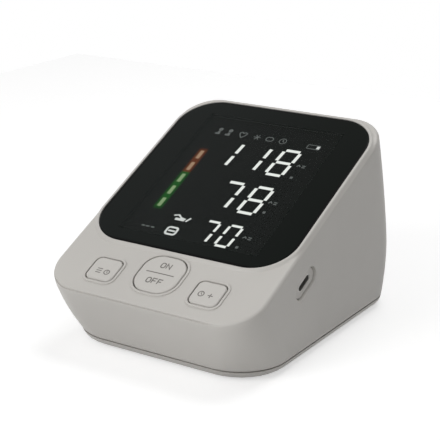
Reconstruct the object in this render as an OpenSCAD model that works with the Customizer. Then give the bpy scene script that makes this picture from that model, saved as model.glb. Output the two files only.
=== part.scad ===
// Upper arm blood pressure monitor: a wedge-shaped housing with a glossy
// display lens, three keys, a side charging socket, a cuff air socket and
// a battery bay under a hinged door. Millimetres, +Z up, front towards -Y.
// The origin is the middle of the footprint at the level of the feet.

/* [Housing] */
// Width of the housing at its widest level
case_w = 96.8; // [92:0.2:104]
// Depth of the housing, front edge to rear wall
case_d = 124.4; // [120:0.2:134]
// Height of the front edge of the sloped face above the base
front_h = 27; // [25:0.5:32]
// Tilt of the sloped face
slope_deg = 25.5; // [23:0.5:28]
// Length of the sloped face from its front edge to its rear edge
slope_len = 124.5; // [122:0.5:130]
// How far the front face runs in under the front edge at the base
front_lean = 10.8; // [8:0.2:12]
// How far each side runs in at the base
side_draft = 1.8; // [0.5:0.1:2.2]
// Corner radius of the sloped face at the front
front_corner_r = 15.5; // [12:0.5:17]
// Front corner radius at the base
base_corner_r = 20.5; // [17:0.5:22]
// Corner radius at the rear
rear_corner_r = 16; // [13:0.5:17]
// Rounding of the bottom edge
base_edge_r = 3.7; // [3:0.1:4.2]
// Rounding of the edge of the sloped face
slope_edge_r = 1.8; // [1:0.1:2]
// Wall thickness of the housing
case_wall = 2.2; // [2:0.1:2.4]
// Height of the parting line above the base
parting_h = 3.2; // [2.8:0.1:3.6]
// Shadow gap of the parting line
parting_gap = 0.3; // [0.2:0.05:0.4]
// Thickness of the base cover's register lip
lip_t = 1.1; // [0.9:0.1:1.3]
// Height of the register lip above the parting line
lip_h = 2; // [1.5:0.1:2.5]
// Depth of the groove along the front edge
seam_depth = 0.35; // [0.2:0.05:0.5]
// Width of the groove along the front edge
seam_w = 0.5; // [0.3:0.05:0.7]
// Distance of the groove below the sloped face
seam_drop = 2.3; // [2:0.1:3]
// Clearance between fixed parts that drop into each other
fit_gap = 0.15; // [0.1:0.05:0.2]
// Clearance between a moving part and what it passes
run_gap = 0.3; // [0.25:0.05:0.4]

/* [Lens] */
// Width of the housing beside the lens, on each side
lens_side = 2.4; // [2.4:0.1:4]
// Length of the sloped face behind the lens
lens_rear = 3.2; // [3.2:0.1:5]
// Corner radius of the lens
lens_r = 17; // [12:0.5:18]
// Distance from the slope's front edge to the lens
lens_s = 29.7; // [29:0.1:30.5]
// Thickness of the lens
lens_t = 1.6; // [1.2:0.1:2]
// Width of the raised rim round the lens
rim_w = 1.7; // [1.2:0.1:1.8]
// Height of the raised rim above the sloped face
rim_h = 0.8; // [0.4:0.1:1]
// Depth of the lens's face below the top of the rim
lens_sink = 0.15; // [0:0.05:0.3]
// Width of the ledge that carries the lens
ledge_w = 8; // [6:0.5:9]
// Corner radius of the window inside the ledge
window_r = 5; // [4:0.5:6]
// Thickness of the adhesive tape between the lens and its ledge
tape_t = 0.2; // [0.1:0.05:0.3]

/* [Display] */
// Width of the lens beside the display module, on each side
module_side = 13; // [12:0.5:15]
// Length of the lens before and behind the display module
module_end = 8.3; // [8.2:0.05:8.6]
// Height of a large figure
figure_h = 15.6; // [14:0.2:16]
// Width of a figure, as a share of the distance between two figures
figure_w_share = 0.555; // [0.5:0.005:0.6]
// Size of the small figures as a share of the large ones
small_share = 0.76; // [0.7:0.01:0.8]
// Width of one bar of a figure
bar_t = 1.25; // [1:0.05:1.4]
// Gap at each end of a bar
bar_gap = 0.45; // [0.3:0.05:0.6]
// Lean of the figures
figure_lean = 5; // [0:1:10]
// Height of the light pipes behind the lens
pipe_h = 3; // [2:0.5:5]
// Room right of the middle of the rightmost figures, for the labels
label_room = 18.3; // [17:0.1:19]
// Places of the three rows of figures, as shares of the module's length
row_shares = [0.705, 0.385, 0.095]; // [0.09:0.005:0.71]
// Room between the display module's left edge and the level bar
level_room = 8.6; // [7:0.1:10]
// Place of the lowest step of the level bar, as a share of the module's length
level_share = 0.244; // [0.23:0.002:0.25]
// Distance between two steps of the level bar
level_pitch = 7.8; // [7:0.1:8]
// Length of one step of the level bar
level_l = 5.2; // [4:0.1:6]
// Width of one step of the level bar
level_w = 1.7; // [1.2:0.1:2]

/* [Keys] */
// Side length of the middle key
mid_key_w = 19; // [17:0.2:20]
// Corner radius of the middle key
mid_key_r = 7; // [5:0.5:8]
// Distance of the middle key's centre from the slope's front edge
mid_key_s = 17.3; // [16.5:0.1:17.6]
// Width of a side key
side_key_w = 12.4; // [11:0.2:13]
// Length of a side key along the slope
side_key_l = 11.6; // [10:0.2:12]
// Corner radius of a side key
side_key_r = 2.6; // [2:0.2:4]
// Distance of a side key's centre from the slope's front edge
side_key_s = 13.4; // [12.8:0.1:14]
// Distance of a side key from the middle, as a share of the housing's width
side_key_share = 0.25; // [0.242:0.002:0.258]
// How far a key stands above the sloped face
key_proud = 0.9; // [0.6:0.1:1.2]
// Thickness of the flange that holds a key under the sloped face
key_flange_t = 1.2; // [1:0.1:1.4]
// Width of the flange beyond the key
key_flange_w = 1.1; // [0.9:0.1:1.3]
// Radius of the plunger under a key
plunger_r = 1.6; // [1.2:0.1:2]
// Travel of a key
key_travel = 0.8; // [0.5:0.05:1]

/* [Main board] */
// Distance from the sloped face down to the main board
board_drop = 10.7; // [10.5:0.1:11.5]
// Thickness of the main board
board_t = 1.6; // [1.2:0.1:1.6]
// Room between the main board's wide part and the housing's side
board_side = 4.9; // [4.4:0.1:5.4]
// Width of the main board's tongue beyond the side keys
tongue_side = 0.6; // [0:0.1:1]
// Distance from the slope's front edge to the tongue's front edge
tongue_s = 5.5; // [5:0.1:6]
// Distance from the slope's front edge to the wide part of the board
board_s = 35; // [34.5:0.1:35.5]
// Room between the main board and the slope's rear edge
board_rear = 12; // [11:0.1:12.5]
// Distance of the board's screws from its edges
board_screw_in = 3; // [2.8:0.1:3.4]
// Radius of the pilot hole in a board boss
board_pilot_r = 1.05; // [0.9:0.05:1.2]
// Outside radius of a board boss
board_boss_r = 2.5; // [2.3:0.1:2.8]
// Side length of a key switch's case
switch_w = 6; // [5:0.1:6.5]
// Height of a key switch's case
switch_h = 3.5; // [3:0.1:3.6]
// Height of a key switch's stem above its case
switch_stem_h = 1; // [0.8:0.1:1.2]
// Radius of a key switch's stem
switch_stem_r = 1.7; // [1.4:0.1:1.9]

/* [Charging socket] */
// Outside width of the charging socket's shell
usb_w = 8.94; // [8.94:0.01:9.2]
// Outside height of the charging socket's shell
usb_h = 3.2; // [3.1:0.01:3.4]
// Length of the charging socket
usb_l = 7.35; // [7:0.05:9]
// Wall thickness of the charging socket's shell
usb_wall = 0.3; // [0.25:0.05:0.35]
// Distance of the charging socket from the slope's front edge
usb_s = 41.2; // [41:0.1:42]
// Depth of the finger recess round the charging socket
usb_recess = 0.9; // [0.5:0.1:1.1]
// Width of the finger recess
usb_recess_w = 16; // [14:0.5:17]
// Height of the finger recess
usb_recess_h = 8; // [7:0.5:8.5]

/* [Air socket] */
// Radius of the bore that takes the cuff hose's plug
air_bore_r = 2.5; // [2:0.05:3]
// Depth of the bore
air_bore_l = 12; // [10:0.5:13]
// Outside radius of the air socket's barrel
air_barrel_r = 4.2; // [3.9:0.1:4.5]
// Radius of the air socket's flange
air_flange_r = 6.5; // [6:0.1:7]
// Thickness of the air socket's flange
air_flange_t = 1.1; // [0.9:0.1:1.2]
// Distance of the air socket in front of the housing's middle
air_y = -20; // [-20.5:0.5:-19]
// Distance of the air line from the housing's left side
air_line_in = 11.4; // [11:0.1:12]

/* [Battery bay] */
// Diameter of a battery cell
cell_d = 14.5; // [14.5:0.1:14.8]
// Length of a battery cell with its cap
cell_l = 50.5; // [49.5:0.1:51]
// Distance between two cells
cell_pitch = 15; // [15:0.1:15.3]
// Length of a contact spring in the closed bay
spring_l = 6; // [5:0.1:7]
// Thickness of a contact plate
contact_t = 0.5; // [0.4:0.1:0.6]
// Wall thickness of the battery bay
bay_wall = 1.6; // [1.4:0.1:1.8]
// Room between the bay and the housing's rear, for the latch
bay_rear = 16.7; // [16.4:0.1:17.2]
// Thickness of the battery door
door_t = 1.8; // [1.6:0.1:2]
// Radius of the door's two pivot pins
door_pin_r = 1; // [0.9:0.05:1.1]
// Clearance of the pivot pins in their holes
pin_gap = 0.06; // [0.03:0.01:0.09]
// Width of the door's latch
latch_w = 14; // [10:0.5:16]
// Depth of the latch's finger well, front to back
latch_d = 8.5; // [7:0.1:9]

/* [Pump] */
// Radius of the pump head
pump_r = 13.5; // [12:0.1:13.7]
// Length of the pump head
pump_l = 18; // [14:0.5:20]
// Length of the pump's valve cap
pump_cap_l = 6; // [4:0.5:8]
// Radius of the motor can
motor_r = 12; // [10:0.1:12.5]
// Length of the motor can
motor_l = 31; // [28:0.5:33]
// Thickness of the rubber sleeves round the pump
sleeve_t = 1.5; // [1:0.1:2]
// Width of a rubber sleeve
sleeve_w = 7; // [5:0.5:8]
// Distance of the pump's motor from the air line, across the housing
pump_in = 31; // [30:0.5:33]
// Distance of the pump's axis from the battery bay's rear end
pump_rear = 19.5; // [19:0.1:20]
// Height of the pump's axis above the battery bay
pump_lift = 15.2; // [15.2:0.1:16]

/* [Air line] */
// Outside radius of the air hoses
hose_r = 2.5; // [2.2:0.1:2.6]
// Inside radius of the air hoses
hose_bore_r = 1.5; // [1.2:0.1:1.6]
// Length of a hose barb
barb_l = 3; // [2.5:0.1:3.2]
// Straight run of a hose beyond its barb
hose_straight = 1; // [0.6:0.1:1.1]
// Side length of the hose joint's block
joint_w = 6.4; // [6:0.1:6.8]

/* [Feet and screws] */
// Radius of a rubber foot
foot_r = 4.5; // [4:0.1:5]
// How far the feet lift the base
foot_h = 1; // [0.8:0.1:1.2]
// Depth of a foot's seat in the base cover
foot_seat = 1; // [0.8:0.1:1.1]
// Radius of a housing screw's shank
screw_r = 1.4; // [1.2:0.05:1.5]
// Radius of a housing screw's head
screw_head_r = 2.7; // [2.5:0.1:2.9]
// Height of a housing screw's head
screw_head_h = 2; // [1.6:0.1:2.4]
// Length of a housing screw's shank
screw_l = 12; // [10:0.5:14]
// Distance of the front screws from the housing's sides
front_screw_in = 12.4; // [12:0.1:13]
// Distance of the rear screws from the housing's sides
rear_screw_in = 11.9; // [11.5:0.1:12.5]
// Distance of the feet from the housing's sides
foot_in = 24.4; // [23:0.2:26]
// Outside radius of the base cover's screw tubes
tube_r = 4.4; // [4.2:0.1:4.6]
// Height of the joint between screw tubes and screw bosses above the base
tube_h = 11; // [10:0.5:12]
// Height of the housing's screw bosses above that joint
boss_h = 16; // [12:0.5:16]

/* [Speaker] */
// Room round the speaker, between the front wall and the battery bay
speaker_room = 0.6; // [0.3:0.1:2]
// Height of the speaker's frame
speaker_h = 3; // [2.5:0.1:4]
// Radius of a sound hole
sound_hole_r = 0.9; // [0.7:0.1:1]

/* [Hidden] */

// Margin by which a cutting shape passes the surface that it cuts
over = 1;
// Size of a box that cuts away everything on one side of a plane
all_over = 300;
// Facets of the shapes inside a hull, and of round shapes elsewhere
$fn = 64;
hull_fn = 32;
edge_steps = 4;

// Places on the sloped face
edge_z = foot_h + front_h;
slope_y = -case_d / 2 - slope_edge_r * (cos(slope_deg) + sin(slope_deg) - 1);
slope_top_y = slope_y + slope_len * cos(slope_deg);
slope_rise = slope_len * sin(slope_deg);
rear_lean = case_d / 2 - slope_top_y;
into_slope = [0, sin(slope_deg), -cos(slope_deg)];
lens_w = case_w - 2 * lens_side;
lens_l = slope_len - lens_s - lens_rear;
lens_mid_s = lens_s + lens_l / 2;
lens_top = rim_h - lens_sink;
lens_bottom = lens_top - lens_t;
module_w = lens_w - 2 * module_side;
module_l = lens_l - 2 * module_end;
module_s = lens_s + module_end;
module_top = lens_bottom;
figure_x = module_w / 2 - label_room;
figure_pitch = (module_w - label_room - 0.77 * level_room) / 3;
figure_w = figure_pitch * figure_w_share;
level_x = -module_w / 2 + level_room;
board_bottom = -board_drop - board_t;
switch_top = -board_drop + switch_h;
stem_top = switch_top + switch_stem_h;
plunger_end = stem_top + key_travel + run_gap;
flange_top = -case_wall - run_gap;
side_key_x = case_w * side_key_share;
side_keys = [-side_key_x, side_key_x];
board_w = case_w - 2 * board_side;
board_l = slope_len - board_s - board_rear;
tongue_w = 2 * (side_key_x + tongue_side) + side_key_w;

// Places at the base
base_hw = case_w / 2 - side_draft;
base_front_y = -case_d / 2 + front_lean;
floor_top = foot_h + case_wall;
parting_z = foot_h + parting_h;
tube_top = foot_h + tube_h;
head_seat_z = tube_top - 2.5;
boss_r = tube_r - 0.4;
rib_t = 1.2;
pilot_gap = 0.05;

// Places of the battery bay
bay_l = cell_l + spring_l + 2 * contact_t;
bay_end = case_d / 2 - bay_rear;
bay_y = bay_end - bay_l;
cell_count = 4;
bay_hw = cell_count * cell_pitch / 2 + run_gap / 2;
door_hw = bay_hw - run_gap;
pivot_y = bay_y - door_t + contact_t - run_gap;
pivot_z = foot_h + door_t;
roll_r = door_t + run_gap;
hinge_front = pivot_y - roll_r - bay_wall;
cell_z = pivot_z + run_gap + cell_d / 2;
trough_r = cell_d / 2 + fit_gap;
bay_top = cell_z + trough_r + bay_wall;
well_top = foot_h + 8;
cell_xs = [for (i = [0:cell_count - 1]) (i - (cell_count - 1) / 2) * cell_pitch];

// Place and size of the pressure sensor under the board
sensor_s = 58;
sensor_w = 10;
sensor_h = 5;

// Places of the screws, the feet and the speaker
front_screw_y = base_front_y + 20.4;
rear_screw_y = bay_end + bay_wall + tube_r + 1;
screw_xy = [for (x = [-1, 1], end = [0, 1]) end == 0
    ? [x * (case_w / 2 - front_screw_in), front_screw_y]
    : [x * (case_w / 2 - rear_screw_in), rear_screw_y]];
foot_xy = [for (x = [-1, 1], y = [base_front_y + 11.9, case_d / 2 - 9.9])
    [x * (case_w / 2 - foot_in), y]];
board_screw_xs = [for (x = [-1, 1], i = [0:2]) i == 0
    ? [x * side_key_x, side_key_s + side_key_l / 2 + key_flange_w + board_boss_r + 0.6]
    : [x * (board_w / 2 - board_screw_in),
        i == 1 ? sensor_s + sensor_w / 2 + 11 : board_s + board_l - 6.5]];
room_start = base_front_y + case_wall + base_edge_r;
room_end = hinge_front;
speaker_y = (room_start + room_end) / 2;
speaker_r = (room_end - room_start) / 2 - rib_t - fit_gap - speaker_room;

// Places of the pump and the air line
line_x = -case_w / 2 + air_line_in;
pump_y = bay_end - pump_rear;
pump_z = bay_top + pump_lift;
pump_x = line_x + pump_in;
motor_end = pump_x + motor_l;
head_end = pump_x - pump_l;
cap_end = head_end - pump_cap_l;
saddle_t = 5;
// Each saddle's place, the radius that it carries, half its width, and how
// far its top stays below the pump's axis
saddle_xs = [[pump_x - 9, pump_r, pump_r, pump_r / 2], [pump_x + 19, motor_r, 20, 0]];
strap_t = 1.4;
strap_reach = 17.2;
strap_screw_r = 1;
strap_screw_l = 7;
joint_y = air_y + 18.5;
air_face = -case_w / 2 + 0.5;
valve_size = [20, 10, 12];
valve_x = line_x + 15;
valve_frame_h = 4;
air_z = bay_top + valve_size[2] / 2;
barb_r = hose_bore_r - 0.2;

// Places of the charging socket
usb_n = board_bottom - usb_h / 2;
usb_face = case_w / 2 - usb_recess - fit_gap;

// Sizes of the parts under the main board: width, length and height
big_chip = [12, 12, 1.4];
flat_chip = [10, 6, 1.5];
small_chip = [5, 6, 1.5];
coil = [7, 7, 3];
side_plug = [5, 8, 5.5];
front_plug = [8, 5, 5.5];
can_r = 3;
can_h = 6;
motor_plug_at = [board_w / 2 - 15.5, board_s + board_l - 34.5];
battery_plug_at = [8, board_s - 5];
speaker_plug_at = [-12, tongue_s + 18.5];
lead_r = 0.55;

// A rectangle with round corners, centred
module round_rect(w, l, r) {
    square([w - 2 * r, l], center = true);
    square([w, l - 2 * r], center = true);
    for (x = [-1, 1], y = [-1, 1])
        translate([x * (w / 2 - r), y * (l / 2 - r)]) circle(r = r);
}

// Moves its children to the sloped face: X across, Y up the slope, Z outwards
module on_slope() {
    translate([0, slope_y, edge_z]) rotate([slope_deg, 0, 0]) children();
}

// A point given by its place on the sloped face
function slope_point(x, s, n) = [x, slope_y + s * cos(slope_deg) - n * sin(slope_deg),
    edge_z + s * sin(slope_deg) + n * cos(slope_deg)];

// A disc whose lower edge is rounded
module rounded_disc(r, edge) {
    rotate_extrude($fn = hull_fn)
        polygon(concat([[0, 0]],
            [for (i = [0:edge_steps]) let (a = 90 * i / edge_steps)
                [r - edge + edge * sin(a), edge - edge * cos(a)]],
            [[0, edge]]));
}

// A flat disc that carries the hull at one level
module level_disc(r) {
    cylinder(r = r, h = 0.01, $fn = hull_fn);
}

// The four corners of the housing's base, each with its radius
module base_corners() {
    for (side = [-1, 1]) {
        translate([side * (base_hw - base_corner_r), base_front_y + base_corner_r])
            children(0);
        translate([side * (base_hw - rear_corner_r), case_d / 2 - rear_corner_r])
            children(1);
    }
}

// The outline of the housing at its base, made smaller all round by inset
module base_outline(inset) {
    hull() base_corners() {
        circle(r = base_corner_r - inset, $fn = hull_fn);
        circle(r = rear_corner_r - inset, $fn = hull_fn);
    }
}

// The outer form of the housing, made smaller all round by inset
module case_form(inset = 0) {
    top_edge = max(slope_edge_r - inset, 0.4);
    low_edge = max(base_edge_r - inset, 0.6);
    mid_front_r = (front_corner_r + base_corner_r) / 2;
    mid_hw = case_w / 2 - side_draft / 4;
    hull() {
        translate([0, 0, foot_h + inset]) base_corners() {
            rounded_disc(base_corner_r - inset, low_edge);
            rounded_disc(rear_corner_r - inset, low_edge);
        }
        for (side = [-1, 1]) {
            translate([side * (mid_hw - mid_front_r),
                    -case_d / 2 + front_lean / 2 + mid_front_r, edge_z - front_h / 2])
                level_disc(mid_front_r - inset);
            translate([side * (mid_hw - rear_corner_r), case_d / 2 - rear_corner_r,
                    edge_z - front_h / 2])
                level_disc(rear_corner_r - inset);
            for (u = [0, 0.35, 0.7])
                translate([side * (case_w / 2 - rear_corner_r),
                        case_d / 2 - rear_corner_r - rear_lean * (0.68 * u + 0.32 * u * u),
                        edge_z + slope_rise * u])
                    level_disc(rear_corner_r - inset);
            on_slope() for (s = [front_corner_r, slope_len - rear_corner_r]) {
                corner_r = s == front_corner_r ? front_corner_r : rear_corner_r;
                translate([side * (case_w / 2 - corner_r), s, -inset]) mirror([0, 0, 1])
                    rounded_disc(corner_r - inset, top_edge);
            }
        }
    }
}

// Everything below a level, and everything above one
module below(z) {
    translate([-all_over / 2, -all_over / 2, z - all_over])
        cube([all_over, all_over, all_over]);
}
module above(z) {
    below(z + all_over);
}

// A pill shape lying across X, with its width along the slope
module pill_across(w, h, l) {
    rotate([0, 90, 0]) linear_extrude(l) {
        square([h, w - h], center = true);
        for (y = [-1, 1]) translate([0, y * (w - h) / 2]) circle(d = h);
    }
}

// Screw bosses that stand on the screw tubes, each carried by a rib from the
// side wall
module housing_bosses() {
    for (p = screw_xy) {
        reach = case_w / 2 - case_wall / 2 - abs(p[0]);
        translate([p[0], p[1], tube_top]) difference() {
            union() {
                cylinder(r = boss_r, h = boss_h);
                translate([p[0] > 0 ? 0 : -reach, -rib_t / 2, 0])
                    cube([reach, rib_t, boss_h]);
            }
            translate([0, 0, -over])
                cylinder(r = screw_r + pilot_gap, h = screw_l + over);
        }
    }
}

// Bosses under the sloped face that carry the main board
module board_bosses() {
    on_slope() for (p = board_screw_xs)
        translate([p[0], p[1], -board_drop]) difference() {
            cylinder(r = board_boss_r, h = board_drop - case_wall + over / 2);
            translate([0, 0, -over])
                cylinder(r = board_pilot_r, h = board_drop - case_wall);
        }
}

// The groove along the front edge, which ends at the right front corner
module front_seam() {
    difference() {
        on_slope() translate([-case_w / 2 - over, -over, -seam_drop - seam_w])
            cube([case_w - front_corner_r / 2 + over, front_corner_r + over, seam_w]);
        case_form(seam_depth);
    }
}

module upper_housing() {
    color([0.77, 0.75, 0.73]) {
        difference() {
            union() {
                case_form();
                on_slope() translate([0, lens_mid_s, -over])
                    linear_extrude(rim_h + over)
                        round_rect(lens_w + 2 * rim_w, lens_l + 2 * rim_w, lens_r + rim_w);
            }
            case_form(case_wall);
            below(parting_z + parting_gap);
            front_seam();
            on_slope() {
                translate([0, lens_mid_s, lens_bottom - tape_t])
                    linear_extrude(tape_t + lens_t + over)
                        round_rect(lens_w + 2 * fit_gap, lens_l + 2 * fit_gap,
                            lens_r + fit_gap);
                translate([0, lens_mid_s, -case_wall - over])
                    linear_extrude(case_wall + 2 * over)
                        round_rect(lens_w - 2 * ledge_w, lens_l - 2 * ledge_w, window_r);
                key_hole(mid_key_w, mid_key_w, mid_key_r, 0, mid_key_s);
                for (x = side_keys)
                    key_hole(side_key_w, side_key_l, side_key_r, x, side_key_s);
                translate([case_w / 2 - usb_recess, usb_s, usb_n])
                    pill_across(usb_recess_w, usb_recess_h, 2 * over);
                translate([case_w / 2 - case_wall - over, usb_s, usb_n])
                    pill_across(usb_w + 2 * fit_gap, usb_h + 2 * fit_gap,
                        case_wall + 2 * over);
            }
            translate([-case_w / 2 - over, air_y, air_z]) rotate([0, 90, 0]) {
                cylinder(r = air_barrel_r + fit_gap, h = case_wall + 3 * over);
                cylinder(r = air_flange_r + fit_gap, h = air_face + air_flange_t
                    + case_w / 2 + over);
            }
        }
        housing_bosses();
        board_bosses();
    }
}

// The hole that a key passes through in the sloped face
module key_hole(w, l, r, x, s) {
    translate([x, s, -case_wall - over]) linear_extrude(case_wall + 2 * over)
        round_rect(w + 2 * run_gap, l + 2 * run_gap, r + run_gap);
}

// The hollow of the battery bay: four troughs over one open box
module bay_hollow() {
    ridge_z = cell_z + 2;
    translate([-bay_hw, bay_y, -over])
        cube([2 * bay_hw, bay_l, ridge_z + over]);
    for (x = cell_xs)
        translate([x, bay_y, cell_z]) rotate([-90, 0, 0])
            cylinder(r = trough_r, h = bay_l);
}

// A low frame round a part of the given size
module floor_frame(size, frame_h) {
    translate([-fit_gap - rib_t, -fit_gap - rib_t, 0]) difference() {
        cube([size[0] + 2 * (fit_gap + rib_t), size[1] + 2 * (fit_gap + rib_t), frame_h]);
        translate([rib_t, rib_t, -over])
            cube([size[0] + 2 * fit_gap, size[1] + 2 * fit_gap, frame_h + 2 * over]);
    }
}

// Sound holes in two rings round a middle one
module sound_holes() {
    ring_step = 0.3 * speaker_r;
    translate([0, speaker_y, -over]) {
        cylinder(r = sound_hole_r, h = floor_top + 2 * over, $fn = 24);
        for (ring = [1, 2], i = [0:6 * ring - 1])
            rotate(i * 60 / ring) translate([ring * ring_step, 0])
                cylinder(r = sound_hole_r, h = floor_top + 2 * over, $fn = 24);
    }
}

// Two saddles on the battery bay that carry the pump in its sleeves. The one
// under the motor reaches out to the strap's screws.
module pump_saddles() {
    for (s = saddle_xs)
        difference() {
            translate([s[0] - saddle_t / 2, pump_y - s[2], bay_top - over])
                cube([saddle_t, 2 * s[2], pump_z - bay_top + over - s[3]]);
            translate([s[0] - saddle_t, pump_y, pump_z]) rotate([0, 90, 0])
                cylinder(r = s[1] + sleeve_t, h = 2 * saddle_t);
            if (s[3] == 0) for (y = [-1, 1])
                translate([s[0], pump_y + y * strap_reach, pump_z - strap_screw_l])
                    cylinder(r = strap_screw_r + pilot_gap, h = strap_screw_l + over);
        }
}

module base_cover() {
    color([0.72, 0.7, 0.68]) {
        difference() {
            union() {
                difference() {
                    case_form();
                    case_form(case_wall);
                    above(parting_z);
                }
                translate([0, 0, floor_top - over / 2])
                    linear_extrude(parting_z + lip_h - floor_top + over / 2) difference() {
                        base_outline(case_wall + fit_gap);
                        base_outline(case_wall + fit_gap + lip_t);
                    }
                translate([-bay_hw - bay_wall, bay_y - bay_wall, floor_top - over])
                    cube([2 * (bay_hw + bay_wall), bay_l + 2 * bay_wall,
                        bay_top - floor_top + over]);
                translate([-bay_hw - bay_wall, hinge_front, floor_top - over])
                    cube([2 * (bay_hw + bay_wall), bay_y - hinge_front,
                        pivot_z + roll_r + bay_wall - floor_top + over]);
                translate([-latch_w / 2 - run_gap - bay_wall, bay_end, floor_top - over])
                    cube([latch_w + 2 * (run_gap + bay_wall), latch_d + 2 * bay_wall,
                        well_top + bay_wall - floor_top + over]);
                for (p = screw_xy)
                    translate([p[0], p[1], floor_top - over])
                        cylinder(r = tube_r, h = tube_top - floor_top + over);
            }
            bay_hollow();
            translate([-bay_hw, pivot_y, pivot_z]) rotate([0, 90, 0])
                cylinder(r = roll_r, h = 2 * bay_hw);
            translate([-bay_hw, pivot_y - roll_r, -over])
                cube([2 * bay_hw, bay_y - pivot_y + roll_r + over, pivot_z + over]);
            for (x = [cell_xs[0], cell_xs[cell_count - 1]])
                translate([x, bay_y + over, cell_z]) rotate([90, 0, 0])
                    cylinder(r = lead_r + fit_gap, h = bay_wall + 2 * over, $fn = 24);
            for (x = [-1, 1])
                translate([x * (bay_hw - over), pivot_y, pivot_z])
                    rotate([0, x * 90, 0])
                        cylinder(r = door_pin_r + pin_gap, h = bay_wall + over + 0.6);
            translate([-latch_w / 2 - run_gap, bay_end + bay_wall, -over])
                cube([latch_w + 2 * run_gap, latch_d, well_top + over]);
            translate([-latch_w / 2 - run_gap, bay_end - over, -over])
                cube([latch_w + 2 * run_gap, bay_wall + 2 * over,
                    pivot_z + run_gap + over]);
            for (p = screw_xy) translate([p[0], p[1], 0]) {
                cylinder(r = screw_head_r + fit_gap, h = head_seat_z);
                cylinder(r = screw_r + fit_gap, h = tube_top + over);
            }
            for (p = foot_xy) translate([p[0], p[1], 0])
                cylinder(r = foot_r, h = foot_h + foot_seat);
            sound_holes();
        }
        pump_saddles();
        translate([valve_x, joint_y - valve_size[1] / 2, bay_top - over / 2])
            floor_frame(valve_size, valve_frame_h);
        translate([0, speaker_y, floor_top - over / 2]) difference() {
            cylinder(r = speaker_r + fit_gap + rib_t, h = speaker_h);
            translate([0, 0, -over]) cylinder(r = speaker_r + fit_gap, h = speaker_h + 2 * over);
        }
    }
}

module lens_tape() {
    color([0.1, 0.1, 0.1]) on_slope() translate([0, lens_mid_s, lens_bottom - tape_t])
        linear_extrude(tape_t) difference() {
            round_rect(lens_w, lens_l, lens_r);
            round_rect(lens_w - 2 * ledge_w, lens_l - 2 * ledge_w, window_r);
        }
}

module lens_panel() {
    color([0.07, 0.08, 0.08, 0.85])
        on_slope() translate([0, lens_mid_s, lens_bottom]) linear_extrude(lens_t)
            round_rect(lens_w, lens_l, lens_r);
}

// The six corners of one bar between two points, leaning with the figures
function lean(p) = [p[0] + p[1] * tan(figure_lean), p[1]];
function bar_points(p, q) = let (d = (q - p) / norm(q - p), n = [-d[1], d[0]] * bar_t / 2,
    a = p + d * bar_gap, b = q - d * bar_gap, k = d * bar_t / 2)
    [for (c = [a, a + k + n, b - k + n, b, b - k - n, a + k - n]) lean(c)];

// The ends of the seven bars of a figure, as shares of half its size
BARS = [[[-1, 1], [1, 1]], [[1, 1], [1, 0]], [[1, 0], [1, -1]], [[-1, -1], [1, -1]],
    [[-1, 0], [-1, -1]], [[-1, 1], [-1, 0]], [[-1, 0], [1, 0]]];
// The bars that light for each digit from 0 to 9
DIGITS = [[0, 1, 2, 3, 4, 5], [1, 2], [0, 1, 6, 4, 3], [0, 1, 6, 2, 3], [5, 6, 1, 2],
    [0, 5, 6, 2, 3], [0, 5, 6, 4, 2, 3], [0, 1, 2], [0, 1, 2, 3, 4, 5, 6],
    [0, 1, 2, 3, 5, 6]];
// The three rows of figures that the display shows
ROWS = [[1, 1, 8], [7, 8], [7, 0]];

// One figure: the bars that its digit lights, or the others
module figure(digit, share, lit) {
    half = [figure_w, figure_h] * share / 2;
    for (i = [0:6]) if ((len(search(i, DIGITS[digit])) > 0) == lit)
        linear_extrude(pipe_h) polygon(bar_points(
            [BARS[i][0][0] * half[0], BARS[i][0][1] * half[1]],
            [BARS[i][1][0] * half[0], BARS[i][1][1] * half[1]]));
}

// All figures of the display at their places, as light pipes
module figures(lit) {
    on_slope() for (row = [0:2]) let (n = len(ROWS[row]),
            share = row == 2 ? small_share : 1)
        for (i = [0:n - 1])
            translate([figure_x - (n - 1 - i) * figure_pitch * share,
                    module_s + row_shares[row] * module_l, module_top - pipe_h])
                figure(ROWS[row][i], share, lit);
}

// Steps of the level bar, counted from the bottom
module level_steps(first, last) {
    level_s = module_s + level_share * module_l;
    on_slope() for (i = [first:last])
        translate([level_x - level_w / 2, level_s + i * level_pitch - level_l / 2,
                module_top - pipe_h])
            cube([level_w, level_l, pipe_h]);
}

module display_module() {
    color([0.12, 0.12, 0.13]) difference() {
        on_slope() translate([-module_w / 2, module_s, -board_drop])
            cube([module_w, module_l, board_drop + module_top]);
        figures(true);
        figures(false);
        level_steps(0, 4);
    }
}

module lit_figures() {
    color([0.95, 0.97, 1]) figures(true);
}

module unlit_figures() {
    color([0.35, 0.35, 0.36]) figures(false);
}

module level_bar_green() {
    color([0.3, 0.85, 0.35]) level_steps(0, 2);
}

module level_bar_amber() {
    color([0.95, 0.5, 0.2]) level_steps(3, 4);
}

module main_board() {
    color([0.1, 0.35, 0.2]) on_slope() difference() {
        translate([0, 0, board_bottom]) linear_extrude(board_t) {
            translate([-board_w / 2, board_s]) square([board_w, board_l]);
            translate([-tongue_w / 2, tongue_s])
                square([tongue_w, board_s - tongue_s + over]);
        }
        for (p = board_screw_xs)
            translate([p[0], p[1], board_bottom - over])
                cylinder(r = board_pilot_r + 0.35, h = board_t + 2 * over);
    }
}

// A part soldered under the main board, by its corner and size
module under_board(at, size) {
    on_slope() translate([at[0], at[1], board_bottom - size[2]]) cube(size);
}

module board_parts() {
    mid_s = board_s + board_l / 2;
    color([0.13, 0.13, 0.14]) {
        under_board([-big_chip[0] / 2, mid_s - big_chip[1]], big_chip);
        for (s = [mid_s - 14, mid_s])
            under_board([board_w / 2 - 29.5, s], flat_chip);
        under_board([-14, board_s + 9], small_chip);
        under_board([board_w / 2 - 17.5, mid_s - 18], coil);
        on_slope() for (s = [mid_s - 24, mid_s + 16])
            translate([2, s, board_bottom - can_h]) cylinder(r = can_r, h = can_h);
    }
}

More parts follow.
